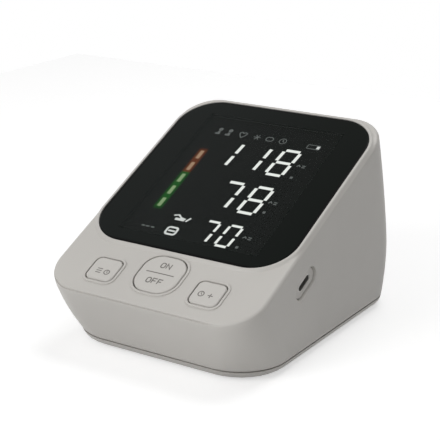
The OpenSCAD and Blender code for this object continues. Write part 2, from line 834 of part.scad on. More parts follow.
module board_plugs() {
    color([0.93, 0.92, 0.88]) {
        under_board(motor_plug_at, side_plug);
        under_board(battery_plug_at, front_plug);
        under_board(speaker_plug_at, front_plug);
    }
}

module key_switches() {
    places = [[-side_key_x, side_key_s], [0, mid_key_s], [side_key_x, side_key_s]];
    on_slope() for (p = places) translate([p[0], p[1], -board_drop]) {
        color([0.75, 0.76, 0.78]) translate([-switch_w / 2, -switch_w / 2, 0])
            cube([switch_w, switch_w, switch_h]);
        color([0.1, 0.1, 0.1]) cylinder(r = switch_stem_r, h = switch_h + switch_stem_h);
    }
}

module pressure_sensor() {
    color([0.85, 0.85, 0.83]) on_slope() translate([line_x, sensor_s, 0]) {
        translate([-sensor_w / 2, -sensor_w / 2, board_bottom - sensor_h])
            cube([sensor_w, sensor_w, sensor_h]);
        translate([0, 0, board_bottom - sensor_h - barb_l])
            cylinder(r = barb_r, h = barb_l + over);
    }
}

// A key: crowned cap, flange under the sloped face and plunger
module key_cap(w, l, r) {
    crown = 0.7;
    hull() {
        translate([0, 0, flange_top]) linear_extrude(key_proud - crown - flange_top)
            round_rect(w, l, r, $fn = hull_fn);
        translate([0, 0, key_proud - crown / 3]) linear_extrude(crown / 3)
            round_rect(w - 2 * crown, l - 2 * crown, r - crown, $fn = hull_fn);
    }
    translate([0, 0, flange_top - key_flange_t]) linear_extrude(key_flange_t)
        round_rect(w + 2 * key_flange_w, l + 2 * key_flange_w, r + key_flange_w);
    translate([0, 0, plunger_end])
        cylinder(r = plunger_r, h = flange_top - plunger_end);
}

module key_left() {
    color([0.8, 0.78, 0.76]) on_slope() translate([-side_key_x, side_key_s, 0])
        key_cap(side_key_w, side_key_l, side_key_r);
}

module key_middle() {
    color([0.8, 0.78, 0.76]) on_slope() translate([0, mid_key_s, 0])
        key_cap(mid_key_w, mid_key_w, mid_key_r);
}

module key_right() {
    color([0.8, 0.78, 0.76]) on_slope() translate([side_key_x, side_key_s, 0])
        key_cap(side_key_w, side_key_l, side_key_r);
}

module usb_shell() {
    color([0.75, 0.76, 0.78]) on_slope() translate([usb_face - usb_l, usb_s, usb_n])
        difference() {
            pill_across(usb_w, usb_h, usb_l);
            translate([usb_wall, 0, 0])
                pill_across(usb_w - 2 * usb_wall, usb_h - 2 * usb_wall, usb_l);
        }
}

module usb_tongue() {
    tongue = [5, 6.7, 0.7];
    color([0.15, 0.15, 0.16]) on_slope()
        translate([usb_face - usb_l + usb_wall, usb_s - tongue[1] / 2,
                usb_n - tongue[2] / 2])
            cube(tongue);
}

module air_socket() {
    barrel_l = air_bore_l + 2;
    color([0.82, 0.82, 0.8]) translate([air_face, air_y, air_z]) difference() {
        union() {
            rotate([0, 90, 0]) {
                cylinder(r = air_flange_r, h = air_flange_t);
                cylinder(r = air_barrel_r, h = barrel_l);
            }
            translate([line_x - air_face, 0, 0]) rotate([-90, 0, 0])
                cylinder(r = barb_r, h = air_barrel_r + barb_l);
        }
        translate([-over, 0, 0]) rotate([0, 90, 0])
            cylinder(r = air_bore_r, h = air_bore_l + over);
    }
}

module air_socket_nut() {
    nut_t = 2.5;
    color([0.3, 0.3, 0.32])
        translate([-case_w / 2 + case_wall + side_draft / 2, air_y, air_z])
            rotate([0, 90, 0]) difference() {
                cylinder(r = air_flange_r, h = nut_t, $fn = 6);
                translate([0, 0, -over])
                    cylinder(r = air_barrel_r + 0.02, h = nut_t + 2 * over);
            }
}

// Where a cell's body starts, for a cell that points to the rear or the front
function cell_start(forward) = forward ? bay_end - contact_t - cell_l : bay_y + contact_t;

module battery_cells() {
    cap_l = 1;
    for (i = [0:cell_count - 1]) let (rear = i % 2 == 0)
        translate([cell_xs[i], cell_start(rear) + (rear ? 0 : cell_l), cell_z])
            rotate([rear ? -90 : 90, 0, 0]) {
                color([0.2, 0.35, 0.55]) cylinder(d = cell_d, h = cell_l - cap_l);
                color([0.8, 0.8, 0.8]) cylinder(d = 5.4, h = cell_l);
            }
}

module battery_plates() {
    plate = [10, contact_t, 10];
    color([0.8, 0.8, 0.82])
        for (x = cell_xs, y = [bay_y, bay_end - contact_t])
            translate([x - plate[0] / 2, y, cell_z - plate[2] / 2]) cube(plate);
}

// A tube of the given radii swept along points, with a bore where inner is set
function unit(v) = v / norm(v);
function tangent(path, i) = unit(path[min(i + 1, len(path) - 1)] - path[max(i - 1, 0)]);
function normals(path, i = 0, seen = []) = i == len(path) ? seen
    : let (t = tangent(path, i), last = i == 0
            ? (abs(t[2]) < 0.9 ? [0, 0, 1] : [1, 0, 0]) : seen[i - 1])
        normals(path, i + 1, concat(seen, [unit(last - (last * t) * t)]));
module sweep(path, outer, inner, sides) {
    turned = normals(path);
    rings = len(path);
    function ring(i, r) = let (t = tangent(path, i), n = turned[i], b = cross(t, n))
        [for (k = [0:sides - 1]) let (a = 360 * k / sides)
            path[i] + r * (n * cos(a) + b * sin(a))];
    outer_points = [for (i = [0:rings - 1]) each ring(i, outer)];
    inner_points = [for (i = [0:rings - 1]) each ring(i, inner)];
    function at(i, k) = i * sides + k % sides;
    shift = rings * sides;
    walls = [for (i = [0:rings - 2], k = [0:sides - 1])
        [at(i, k), at(i, k + 1), at(i + 1, k + 1), at(i + 1, k)]];
    bores = inner == 0 ? [] : [for (w = walls) [for (j = [3:-1:0]) w[j] + shift]];
    ends = inner == 0
        ? [[for (k = [sides - 1:-1:0]) at(0, k)], [for (k = [0:sides - 1]) at(rings - 1, k)]]
        : [for (k = [0:sides - 1], e = [0, 1]) e == 0
            ? [at(0, k + 1), at(0, k), at(0, k) + shift, at(0, k + 1) + shift]
            : [at(rings - 1, k), at(rings - 1, k + 1), at(rings - 1, k + 1) + shift,
                at(rings - 1, k) + shift]];
    polyhedron(inner == 0 ? outer_points : concat(outer_points, inner_points),
        concat(walls, bores, ends), convexity = 6);
}

// A smooth curve through chosen points, with some steps between each two
function curve(p, steps) = let (n = len(p) - 1) concat(
    [for (i = [0:n - 1], k = [0:steps - 1]) let (u = k / steps,
        a = p[max(i - 1, 0)], b = p[i], c = p[i + 1], d = p[min(i + 2, n)])
        (2 * b + (c - a) * u + (2 * a - 5 * b + 4 * c - d) * u * u
            + (3 * b - a - 3 * c + d) * u * u * u) / 2],
    [p[n]]);

// The route of a conical spring from its wide end on the plate to the cell
function spring_path(length, turns, wide, narrow) =
    [for (i = [0:12 * turns]) let (u = i / (12 * turns), r = wide + (narrow - wide) * u)
        [r * cos(30 * i), u * length, r * sin(30 * i)]];

module battery_springs() {
    wire_r = 0.35;
    path = spring_path(spring_l - 2 * wire_r, 4, 4.2, 2.2);
    color([0.82, 0.82, 0.84]) for (i = [0:cell_count - 1]) let (rear = i % 2 == 0)
        translate([cell_xs[i], rear ? bay_y + contact_t + wire_r
                : bay_end - contact_t - wire_r, cell_z])
            rotate([0, 0, rear ? 0 : 180]) sweep(path, wire_r, 0, 6);
}

// The side view of the door's sprung latch: a loop that is pressed to let go
module latch_loop() {
    leg_t = 1.1;
    loop_r = 2.4;
    loop_h = well_top - run_gap - foot_h;
    nub = 0.6;
    square([leg_t, loop_h - loop_r]);
    translate([2 * loop_r - leg_t, leg_t]) square([leg_t, loop_h - loop_r - leg_t]);
    translate([loop_r, loop_h - loop_r]) difference() {
        circle(r = loop_r);
        circle(r = loop_r - leg_t);
        translate([-loop_r, -2 * loop_r]) square(2 * loop_r);
    }
    translate([2 * loop_r - leg_t / 2, leg_t])
        polygon([[0, 0], [leg_t / 2 + nub, nub], [0, 3 * nub]]);
}

module battery_door() {
    knuckle_l = 2;
    loop_y = bay_end + bay_wall + run_gap;
    color([0.72, 0.7, 0.68]) {
        difference() {
            union() {
                translate([-door_hw, pivot_y, foot_h])
                    cube([2 * door_hw, bay_end - run_gap - pivot_y, door_t]);
                translate([-door_hw, pivot_y, pivot_z]) rotate([0, 90, 0])
                    cylinder(r = door_t, h = 2 * door_hw);
            }
            translate([-door_hw + knuckle_l, pivot_y - 2 * door_t, pivot_z])
                cube([2 * (door_hw - knuckle_l), 4 * door_t, door_t + over]);
        }
        for (x = [-1, 1]) translate([x * (door_hw - over), pivot_y, pivot_z])
            rotate([0, x * 90, 0])
                cylinder(r = door_pin_r, h = over + run_gap + bay_wall);
        translate([-latch_w / 2, bay_end - run_gap - over, foot_h])
            cube([latch_w, loop_y - bay_end + run_gap + 2 * over, door_t]);
        translate([-latch_w / 2, loop_y, foot_h]) rotate([90, 0, 90])
            linear_extrude(latch_w) latch_loop();
    }
}

module pump_motor() {
    color([0.72, 0.73, 0.75]) translate([pump_x, pump_y, pump_z]) rotate([0, 90, 0]) {
        cylinder(r = motor_r, h = motor_l);
        cylinder(r = 3, h = motor_l + 2);
    }
}

module pump_head() {
    color([0.2, 0.2, 0.22]) translate([head_end, pump_y, pump_z]) rotate([0, 90, 0])
        cylinder(r = pump_r, h = pump_l);
}

module pump_cap() {
    color([0.9, 0.9, 0.88]) translate([cap_end, pump_y, pump_z]) rotate([0, 90, 0]) {
        cylinder(r = pump_r - 1, h = pump_cap_l);
        translate([0, 0, -barb_l]) cylinder(r = barb_r, h = barb_l);
    }
}

module pump_sleeves() {
    color([0.15, 0.15, 0.15]) for (s = saddle_xs)
        translate([s[0] - sleeve_w / 2, pump_y, pump_z]) rotate([0, 90, 0]) difference() {
            cylinder(r = s[1] + sleeve_t, h = sleeve_w);
            translate([0, 0, -over]) cylinder(r = s[1], h = sleeve_w + 2 * over);
        }
}

module pump_strap() {
    hold_r = motor_r + sleeve_t;
    color([0.6, 0.6, 0.62]) translate([saddle_xs[1][0], pump_y, pump_z]) difference() {
        union() {
            translate([-saddle_t / 2, 0, 0]) rotate([0, 90, 0])
                cylinder(r = hold_r + strap_t, h = saddle_t);
            translate([-saddle_t / 2, -saddle_xs[1][2], 0])
                cube([saddle_t, 2 * saddle_xs[1][2], strap_t]);
        }
        translate([-saddle_t, 0, 0]) rotate([0, 90, 0])
            cylinder(r = hold_r, h = 2 * saddle_t);
        below(0);
        for (y = [-1, 1]) translate([0, y * strap_reach, -over])
            cylinder(r = strap_screw_r + fit_gap, h = strap_t + 2 * over);
    }
}

module strap_screws() {
    color([0.75, 0.76, 0.78]) for (y = [-1, 1])
        translate([saddle_xs[1][0], pump_y + y * strap_reach, pump_z + strap_t]) {
            cylinder(r = 1.9, h = 1.4);
            translate([0, 0, -strap_t - strap_screw_l + over])
                cylinder(r = strap_screw_r, h = strap_screw_l + strap_t - over);
        }
}

module exhaust_valve() {
    color([0.68, 0.69, 0.72])
        translate([valve_x, joint_y, bay_top]) {
            translate([0, -valve_size[1] / 2, 0]) cube(valve_size);
            translate([-barb_l, 0, valve_size[2] / 2])
                rotate([0, 90, 0]) cylinder(r = barb_r, h = barb_l + over);
        }
}

module hose_joint() {
    color([0.9, 0.9, 0.88]) translate([line_x, joint_y, air_z]) {
        cube([joint_w, joint_w, joint_w], center = true);
        for (turn = [[0, 0, 0], [90, 0, 0], [-90, 0, 0], [0, 90, 0]])
            rotate(turn) cylinder(r = barb_r, h = joint_w / 2 + barb_l);
    }
}

// A hose from one barb to another, each given by its foot and its direction,
// through some points between
module hose(from, from_dir, to, to_dir, between = []) {
    runs = [0, barb_l / 2, barb_l, barb_l + hose_straight];
    color([0.8, 0.82, 0.8, 0.7]) sweep(curve(concat(
        [for (run = runs) from + from_dir * run], between,
        [for (i = [3:-1:0]) to + to_dir * runs[i]]), 3), hose_r, hose_bore_r, 12);
}

module hose_to_socket() {
    hose([line_x, air_y + air_barrel_r, air_z], [0, 1, 0],
        [line_x, joint_y - joint_w / 2, air_z], [0, -1, 0]);
}

module hose_to_pump() {
    joint_face = joint_y + joint_w / 2;
    run = pump_y - joint_face;
    drop = pump_z - air_z;
    hose([cap_end, pump_y, pump_z], [-1, 0, 0], [line_x, joint_face, air_z], [0, 1, 0],
        [[line_x - 2.6, pump_y - 2.6, pump_z - 0.15 * drop],
            [line_x - 2.6, joint_face + 0.62 * run, pump_z - 0.55 * drop]]);
}

module hose_to_valve() {
    joint_face = line_x + joint_w / 2;
    hose([joint_face, joint_y, air_z], [1, 0, 0], [valve_x, joint_y, air_z], [-1, 0, 0]);
}

module hose_to_sensor() {
    hose([line_x, joint_y, air_z + joint_w / 2], [0, 0, 1],
        slope_point(line_x, sensor_s, board_bottom - sensor_h), into_slope);
}

module speaker() {
    translate([0, speaker_y, floor_top]) {
        color([0.75, 0.76, 0.78]) cylinder(r = speaker_r, h = speaker_h);
        color([0.5, 0.5, 0.52]) cylinder(r = speaker_r / 2, h = speaker_h + 3);
    }
}

// A lead from one face to another. Its ends stand square on the faces, each
// given by its place and the direction in which the lead leaves it.
module lead(from, from_dir, to, to_dir, between) {
    runs = [0.6, 1.8, 3];
    sweep(concat([from], curve(concat([for (run = runs) from + from_dir * run], between,
        [for (i = [2:-1:0]) to + to_dir * runs[i]]), 4), [to]), lead_r, 0, 6);
}

// The middle of a plug's lower face, moved across and along the slope
function plug_face(at, size, x, s) = slope_point(at[0] + size[0] / 2 + x,
    at[1] + size[1] / 2 + s, board_bottom - size[2]);

module battery_leads() {
    color([0.65, 0.1, 0.08]) for (side = [-1, 1])
        lead([side * cell_xs[0], bay_y, cell_z], [0, -1, 0],
            plug_face(battery_plug_at, front_plug, -2 * side, 0), into_slope,
            [[side * cell_xs[0] * 0.9, bay_y - bay_wall - 5, cell_z + 6]]);
}

module motor_leads() {
    color([0.65, 0.1, 0.08]) for (side = [-1, 1])
        lead([motor_end, pump_y - 3.5 + 1.4 * side, pump_z + 5], [1, 0, 0],
            plug_face(motor_plug_at, side_plug, 0, 1.4 * side), into_slope, []);
}

module speaker_leads() {
    color([0.1, 0.1, 0.1]) for (side = [-1, 1])
        lead([-0.75 * speaker_r, speaker_y + 1.5 * side, floor_top + speaker_h], [0, 0, 1],
            plug_face(speaker_plug_at, front_plug, 1.5 * side, 0), into_slope,
            [[-0.5 * speaker_r + side, speaker_y + side, floor_top + 11]]);
}

module rubber_feet() {
    color([0.25, 0.25, 0.26]) for (p = foot_xy) translate([p[0], p[1], 0])
        cylinder(r = foot_r, h = foot_h + foot_seat);
}

module housing_screws() {
    color([0.7, 0.71, 0.73]) for (p = screw_xy)
        translate([p[0], p[1], head_seat_z]) {
            cylinder(r = screw_r, h = screw_l);
            mirror([0, 0, 1]) difference() {
                cylinder(r = screw_head_r, h = screw_head_h);
                translate([-1.6, -0.4, screw_head_h - 1]) cube([3.2, 0.8, over * 2]);
                translate([-0.4, -1.6, screw_head_h - 1]) cube([0.8, 3.2, over * 2]);
            }
        }
}

module board_screws() {
    color([0.7, 0.71, 0.73]) on_slope() for (p = board_screw_xs)
        translate([p[0], p[1], board_bottom]) {
            cylinder(r = board_pilot_r - 0.05, h = 6);
            mirror([0, 0, 1]) cylinder(r = 2.1, h = 1.5);
        }
}

upper_housing();
base_cover();
lens_panel();
display_module();
lit_figures();
unlit_figures();
level_bar_green();
level_bar_amber();
main_board();
board_parts();
board_plugs();
key_switches();
pressure_sensor();
key_left();
key_middle();
key_right();
usb_shell();
usb_tongue();
air_socket();
air_socket_nut();
battery_cells();
battery_plates();
battery_springs();
battery_door();
pump_motor();
pump_head();
pump_cap();
pump_sleeves();
pump_strap();
strap_screws();
exhaust_valve();
hose_joint();
hose_to_socket();
hose_to_pump();
hose_to_valve();
hose_to_sensor();
speaker();
rubber_feet();
housing_screws();
board_screws();
lens_tape();
battery_leads();
motor_leads();
speaker_leads();
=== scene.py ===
# %% [markdown]
# # An upper arm blood pressure monitor, dressed for its picture
# The packed CAD model gives every solid in its true place and size. This file
# puts smooth visible shells over the main solids, gives every solid a material
# with its own grain and sheen, and adds the light, the floor and the camera.
# Lengths are written in millimetres and become metres only when a mesh is made.

import math

import bmesh
import bpy
from mathutils import Matrix, Vector
from mathutils.geometry import delaunay_2d_cdt


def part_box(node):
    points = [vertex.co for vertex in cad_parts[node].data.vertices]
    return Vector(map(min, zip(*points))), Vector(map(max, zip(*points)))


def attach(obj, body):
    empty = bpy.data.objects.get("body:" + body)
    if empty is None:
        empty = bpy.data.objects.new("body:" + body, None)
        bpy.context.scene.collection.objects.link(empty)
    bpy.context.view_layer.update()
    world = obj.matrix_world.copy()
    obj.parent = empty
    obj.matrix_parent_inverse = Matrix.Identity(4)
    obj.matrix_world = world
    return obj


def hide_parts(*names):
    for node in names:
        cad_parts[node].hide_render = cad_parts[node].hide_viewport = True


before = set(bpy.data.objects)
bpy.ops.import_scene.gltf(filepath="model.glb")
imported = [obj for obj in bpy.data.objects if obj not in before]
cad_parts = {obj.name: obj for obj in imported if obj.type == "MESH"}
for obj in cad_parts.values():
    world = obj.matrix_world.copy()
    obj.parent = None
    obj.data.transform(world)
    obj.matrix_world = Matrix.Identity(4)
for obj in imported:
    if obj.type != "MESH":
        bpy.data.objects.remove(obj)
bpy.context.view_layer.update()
MM = 0.001

# %% [markdown]
# ## The camera
# The camera was fitted to the edges of the lens, the front edge and the base in
# the photograph. It stands about half a metre away, in front on the right, and
# looks down by 18 degrees. A long lens keeps the edges nearly parallel, so no
# shift is needed. The Standard view keeps white plain white.

# %% Set up the camera
CAMERA_AT = Vector((274.76, -426.52, 212.56)) * MM
YAW, PITCH, ROLL = (math.radians(a) for a in (33.12, 18.32, -0.14))
FOCAL_PX = 1307.2
FRAME_PX = 440
SENSOR_MM = 36

ahead = Vector((-math.sin(YAW) * math.cos(PITCH), math.cos(YAW) * math.cos(PITCH),
                -math.sin(PITCH)))
across = Vector((math.cos(YAW), math.sin(YAW), 0))
upward = across.cross(ahead)
right = math.cos(ROLL) * across + math.sin(ROLL) * upward
top = -math.sin(ROLL) * across + math.cos(ROLL) * upward
camera_data = bpy.data.cameras.new("camera")
camera_data.sensor_width = SENSOR_MM
camera_data.lens = FOCAL_PX / FRAME_PX * SENSOR_MM
camera = bpy.data.objects.new("camera", camera_data)
turn = Matrix((right, top, -ahead)).transposed()
camera.matrix_world = Matrix.Translation(CAMERA_AT) @ turn.to_4x4()
bpy.context.scene.collection.objects.link(camera)
bpy.context.scene.camera = camera
bpy.context.scene.view_settings.view_transform = "Standard"
print("lens", round(camera_data.lens, 2), "mm")

# %% [markdown]
# ## The sloped face as a drawing board
# Nearly everything that can be seen lies on the sloped face. It gets its own
# coordinates: x to the right, s up the slope from the front edge, and n out of
# the face. One function turns such a place into a point of the object.

# %% Give the sloped face its coordinates
SLOPE = math.radians(25.5)
SLOPE_Y, EDGE_Z = -62.80, 28.0
CASE = dict(half_w=48.4, near=0.0, far=124.5, r_near=15.5, r_far=16.0)
LENS = dict(half_w=46.0, near=29.7, far=121.3, r_near=17.0, r_far=17.0)
WINDOW = dict(half_w=38.0, near=37.7, far=113.3, r_near=5.0, r_far=5.0)
LENS_MIDDLE = (LENS["near"] + LENS["far"]) / 2


def on_slope(x, s, n):
    """A place on the sloped face as a point of the object, in mm."""
    return Vector((x, SLOPE_Y + s * math.cos(SLOPE) - n * math.sin(SLOPE),
                   EDGE_Z + s * math.sin(SLOPE) + n * math.cos(SLOPE)))


print("slope's rear edge at", [round(v, 1) for v in on_slope(0, CASE["far"], 0)])

# %% [markdown]
# ## Outlines that match point by point
# The housing, the lens and the keys are all rounded four-sided shapes. If every
# outline has the same number of points in the same order, two outlines can be
# joined by plain four-sided faces, and smooth shells come from lists of rings.
# The counts are the points of the front, its right corner, the right side and
# so on round.

# %% Make rounded outlines
COUNTS = (44, 26, 60, 20, 30, 20, 60, 26)


def outline(half_w, near, far, r_near, r_far, grow=0.0, counts=COUNTS):
    """Points of a rounded outline, each with its outward direction."""
    w, n, f = half_w + grow, near - grow, far + grow
    rn, rf = r_near + grow, r_far + grow
    corners = ((w - rn, n + rn, rn, -90), (w - rf, f - rf, rf, 0),
               (rf - w, f - rf, rf, 90), (rn - w, n + rn, rn, 180))
    starts = ((rn - w, n, w - rn, n, 0, -1), (w, n + rn, w, f - rf, 1, 0),
              (w - rf, f, rf - w, f, 0, 1), (-w, f - rf, -w, n + rn, -1, 0))
    places = []
    for k in range(4):
        x0, s0, x1, s1, ox, os = starts[k]
        straight, arc = counts[2 * k], counts[2 * k + 1]
        for i in range(straight):
            u = i / straight
            places.append(((x0 + (x1 - x0) * u, s0 + (s1 - s0) * u), (ox, os)))
        cx, cs, r, begin = corners[k]
        for i in range(arc):
            a = math.radians(begin + 90 * i / arc)
            out = (math.cos(a), math.sin(a))
            places.append(((cx + r * out[0], cs + r * out[1]), out))
    return places


def depth_inside(x, s, half_w, near, far, r_near, r_far):
    """How far a place lies inside an outline; negative outside it."""
    middle, half_l = (near + far) / 2, (far - near) / 2
    r = r_near if s < middle else r_far
    qx, qs = abs(x) - half_w + r, abs(s - middle) - half_l + r
    return r - min(max(qx, qs), 0.0) - math.hypot(max(qx, 0.0), max(qs, 0.0))


case_line, lens_line = outline(**CASE), outline(**LENS)
print("points in an outline:", len(case_line))

# %% [markdown]
# ## Rings and bridges
# A shell is built in bmesh. A ring is a closed loop of corners, and a bridge
# joins two rings with four-sided faces. Most moulded forms are a list of such
# rings, which is easier to change than a mesh that is pulled by hand.

# %% Build meshes from rings
def ring(bm, points):
    return [bm.verts.new(Vector(p) * MM) for p in points]


def bridge(bm, first, second):
    count = len(first)
    return [bm.faces.new((first[i], first[(i + 1) % count],
                          second[(i + 1) % count], second[i])) for i in range(count)]


print("a bridge between two outlines has", len(case_line), "faces")

# %% [markdown]
# ## Filling flat areas
# The deck has holes, so its area lies between several loops. Delaunay triangles
# fill it, with some extra corners laid between the loops, and keep it free of
# the long slivers that would show as streaks in the gloss.

# %% Fill between loops
NEAREST_EXTRA = 1.2


def between(x, s, loops):
    """True inside an odd number of loops, so holes in an outline are left out."""
    inside = False
    for loop in loops:
        for (xa, sa), (xb, sb) in zip(loop, loop[1:] + loop[:1]):
            if (sa > s) != (sb > s) and x < xa + (s - sa) / (sb - sa) * (xb - xa):
                inside = not inside
    return inside


def fill(bm, loops, height, extra=()):
    """Covers the area between loops; a loop is its corners and their places."""
    corners, places, edges = [], [], []
    for verts, flat in loops:
        first, count = len(places), len(flat)
        corners += verts
        places += flat
        edges += [(first + i, first + (i + 1) % count) for i in range(count)]
    flats = [flat for _, flat in loops]
    for x, s in extra:
        nearest = min(math.hypot(x - a, s - b) for a, b in places)
        if between(x, s, flats) and nearest > NEAREST_EXTRA:
            corners.append(bm.verts.new(on_slope(x, s, height(x, s)) * MM))
            places.append((x, s))
    points, _, faces, origins, _, _ = delaunay_2d_cdt(
        [Vector(p) for p in places], edges, [], 0, 1e-7)
    made = 0
    for face in faces:
        mid = sum((points[i] for i in face), Vector((0, 0))) / len(face)
        if between(mid.x, mid.y, flats) and all(origins[i] for i in face):
            bm.faces.new([corners[origins[i][0]] for i in face])
            made += 1
    return made


print("the middle of the lens is inside its outline:",
      between(0, LENS_MIDDLE, [[p for p, _ in lens_line]]))

# %% [markdown]
# ## From a mesh to a piece
# A finished mesh is shaded smoothly, with sharp edges where its faces meet at a
# large angle. It then rides on a body, and the CAD solids that it stands for are
# hidden.

# %% Make pieces
SHARP = math.radians(38)


def piece(name, bm, body, slot, *nodes):
    """A finished mesh as a piece that rides on a body and stands for CAD nodes."""
    bmesh.ops.recalc_face_normals(bm, faces=bm.faces)
    mesh = bpy.data.meshes.new(name)
    bm.to_mesh(mesh)
    bm.free()
    mesh.polygons.foreach_set("use_smooth", [True] * len(mesh.polygons))
    mesh.set_sharp_from_angle(angle=SHARP)
    obj = bpy.data.objects.new(name, mesh)
    bpy.context.scene.collection.objects.link(obj)
    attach(obj, body)
    if nodes:
        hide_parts(*nodes)
    print(name, len(mesh.vertices), "corners")
    return obj


print("edges are sharp above", round(math.degrees(SHARP)), "degrees")

# %% [markdown]
# ## The keys' outlines
# Three keys stand in holes in the front of the deck: a large one with very
# round corners and two smaller ones, set a little lower. A hole is wider than
# its key all round, so the same outline serves for both and only grows.

# %% Place the keys
KEYS = {
    "key_left": dict(x=-24.2, s=13.4, half_w=6.2, half_l=5.8, r=2.6, body="left_key"),
    "key_middle": dict(x=0.0, s=17.3, half_w=9.5, half_l=9.5, r=7.0, body="middle_key"),
    "key_right": dict(x=24.2, s=13.4, half_w=6.2, half_l=5.8, r=2.6, body="right_key"),
}
KEY_COUNTS = (12, 8, 12, 8, 12, 8, 12, 8)


def key_outline(key, grow=0.0):
    """The outline of a key, or of its hole where it grows, on the sloped face."""
    flat = outline(key["half_w"], -key["half_l"], key["half_l"], key["r"], key["r"],
                   grow, KEY_COUNTS)
    return [(key["x"] + p[0], key["s"] + p[1]) for p, _ in flat]


print("middles of the keys:", {name: (key["x"], key["s"]) for name, key in KEYS.items()})

# %% [markdown]
# ## The height of the deck
# The deck is flat in front. A low rim runs round the lens, and the outer edge
# falls away in a rounding, so beside the lens both melt into one narrow bright
# shoulder. One function of the distance to the lens and to the outer edge
# gives that whole surface.

# %% Describe the deck's height
EDGE_R = 1.8
RIM_H, RIM_FLAT, RIM_FALL = 0.8, 0.95, 1.15
LENS_GAP = 0.15


def smooth(value):
    """A soft step from 0 to 1."""
    v = min(max(value, 0.0), 1.0)
    return v * v * (3 - 2 * v)


def deck_height(x, s):
    from_lens = -depth_inside(x, s, **LENS)
    from_edge = depth_inside(x, s, **CASE)
    rim = RIM_H * (1 - smooth((from_lens - RIM_FLAT) / RIM_FALL))
    short = max(EDGE_R - max(from_edge, 0.0), 0.0)
    return rim - (EDGE_R - math.sqrt(EDGE_R ** 2 - short ** 2))


print("height beside the lens:",
      [round(deck_height(46 + d, 75), 2) for d in (0.3, 0.9, 1.5, 2.0, 2.3)])

# %% [markdown]
# ## The walls of the housing
# The walls run from the outer edge of the sloped face down to the parting line.
# The front wall leans in towards the base, the sides curve in slightly, and the
# rear wall first stands upright and then leans forward. Each point of the
# slope's outline is led down to its partner on the base outline, with a mix of
# the front's and the rear's profile by its place on the outline.

# %% Share out the front's and the rear's profile
BASE = dict(half_w=46.6, near=-51.4, far=62.2, r_near=20.5, r_far=16.0)


def rear_share(index):
    """0 in front, 1 behind, and a soft change along the sides."""
    edges, place = [0], 0
    for count in COUNTS:
        place += count
        edges.append(place)
    if index < edges[2]:
        return 0.0
    if index < edges[3]:
        return smooth((index - edges[2]) / COUNTS[2])
    if index < edges[6]:
        return 1.0
    if index < edges[7]:
        return 1 - smooth((index - edges[6]) / COUNTS[6])
    return 0.0


base_line = outline(**BASE)
SHARES = [rear_share(i) for i in range(len(case_line))]
print("points with the rear's profile:", SHARES.count(1.0))

# %% [markdown]
# On its way down a point moves in by its profile: nearly straight in front, with
# a slight bulge, a curved draft at the sides, and a bend in the rear wall.

# %% Lead the walls from the slope to the base
WALL_FOOT = 4.5
DRAFT_END = 28.0
WALL_ROWS = 26
FRONT_BULGE = 0.10
REAR_STRAIGHT, REAR_CURVED = 0.68, 0.32


def ramp(u, softness=0.08):
    """0 below 0 and straight above it, with a soft bend between."""
    return (u + math.hypot(u, softness)) / (1 + math.hypot(1, softness))


def wall_point(top_point, foot, share, t):
    """A point of the wall at the share t of the way down."""
    z = top_point.z + (WALL_FOOT - top_point.z) * t
    reach = min(top_point.z, DRAFT_END) - WALL_FOOT
    q = min((z - WALL_FOOT) / reach, 1.0)
    across_share = 1 - (1 - q) ** 2
    v = 1 - t
    front = v + FRONT_BULGE * v * (1 - v)
    u = (z - DRAFT_END) / max(top_point.z - DRAFT_END, 1.0)
    rear = REAR_STRAIGHT * ramp(u) + REAR_CURVED * max(u, 0.0) ** 2
    along_share = front + (rear - front) * share
    return Vector((foot[0] + (top_point.x - foot[0]) * across_share,
                   foot[1] + (top_point.y - foot[1]) * along_share, z))


print("rows of a wall:", WALL_ROWS, "and points in a row:", len(base_line))

# %% [markdown]
# ## The rounded edge and its groove
# The top half and the front half of the real shell meet in a fine groove that
# runs along the front edge, round the left corner, and fades out at the right
# front corner. Above it the deck's edge has a small rounding, and below it the
# front wall begins with a fuller shoulder. Both fade in and out along the
# outline.

# %% Fade the groove and the shoulder
def groove_share(index):
    """How far the groove is cut at each point of the outline."""
    x, s = case_line[index][0]
    if s > CASE["r_near"] + 8:
        return 0.0
    left = smooth((CASE["r_near"] + 6 - s) / 6) if x < 0 else 1.0
    return left * (1 - smooth((x - 26) / 14))


def shoulder_share(index):
    """How full the shoulder below the groove is."""
    x, s = case_line[index][0]
    return smooth((CASE["r_near"] + 3 - s) / CASE["r_near"]) if s < 19 else 0.0


print("points with the full groove:",
      sum(groove_share(i) == 1.0 for i in range(len(case_line))))

# %% [markdown]
# The edge is a list of rings by angle, and the groove pushes a few of them
# inwards. Beside the lens the edge and the lens's rim share the narrow gap, a
# bit less than half of it each.

# %% Round the outer edge
GROOVE_DEPTH = 0.42
SHOULDER = 2.6
EDGE_ANGLES = (0, 9, 18, 26, 32, 36, 38, 41, 45, 49, 52, 54, 58, 64, 71, 78, 84, 90)
GROOVE_ANGLES = {38: 0.55, 41: 1.0, 45: 1.0, 49: 1.0, 52: 0.55}
GROOVE_LEAN = 0.7
BESIDE_LENS = 0.46


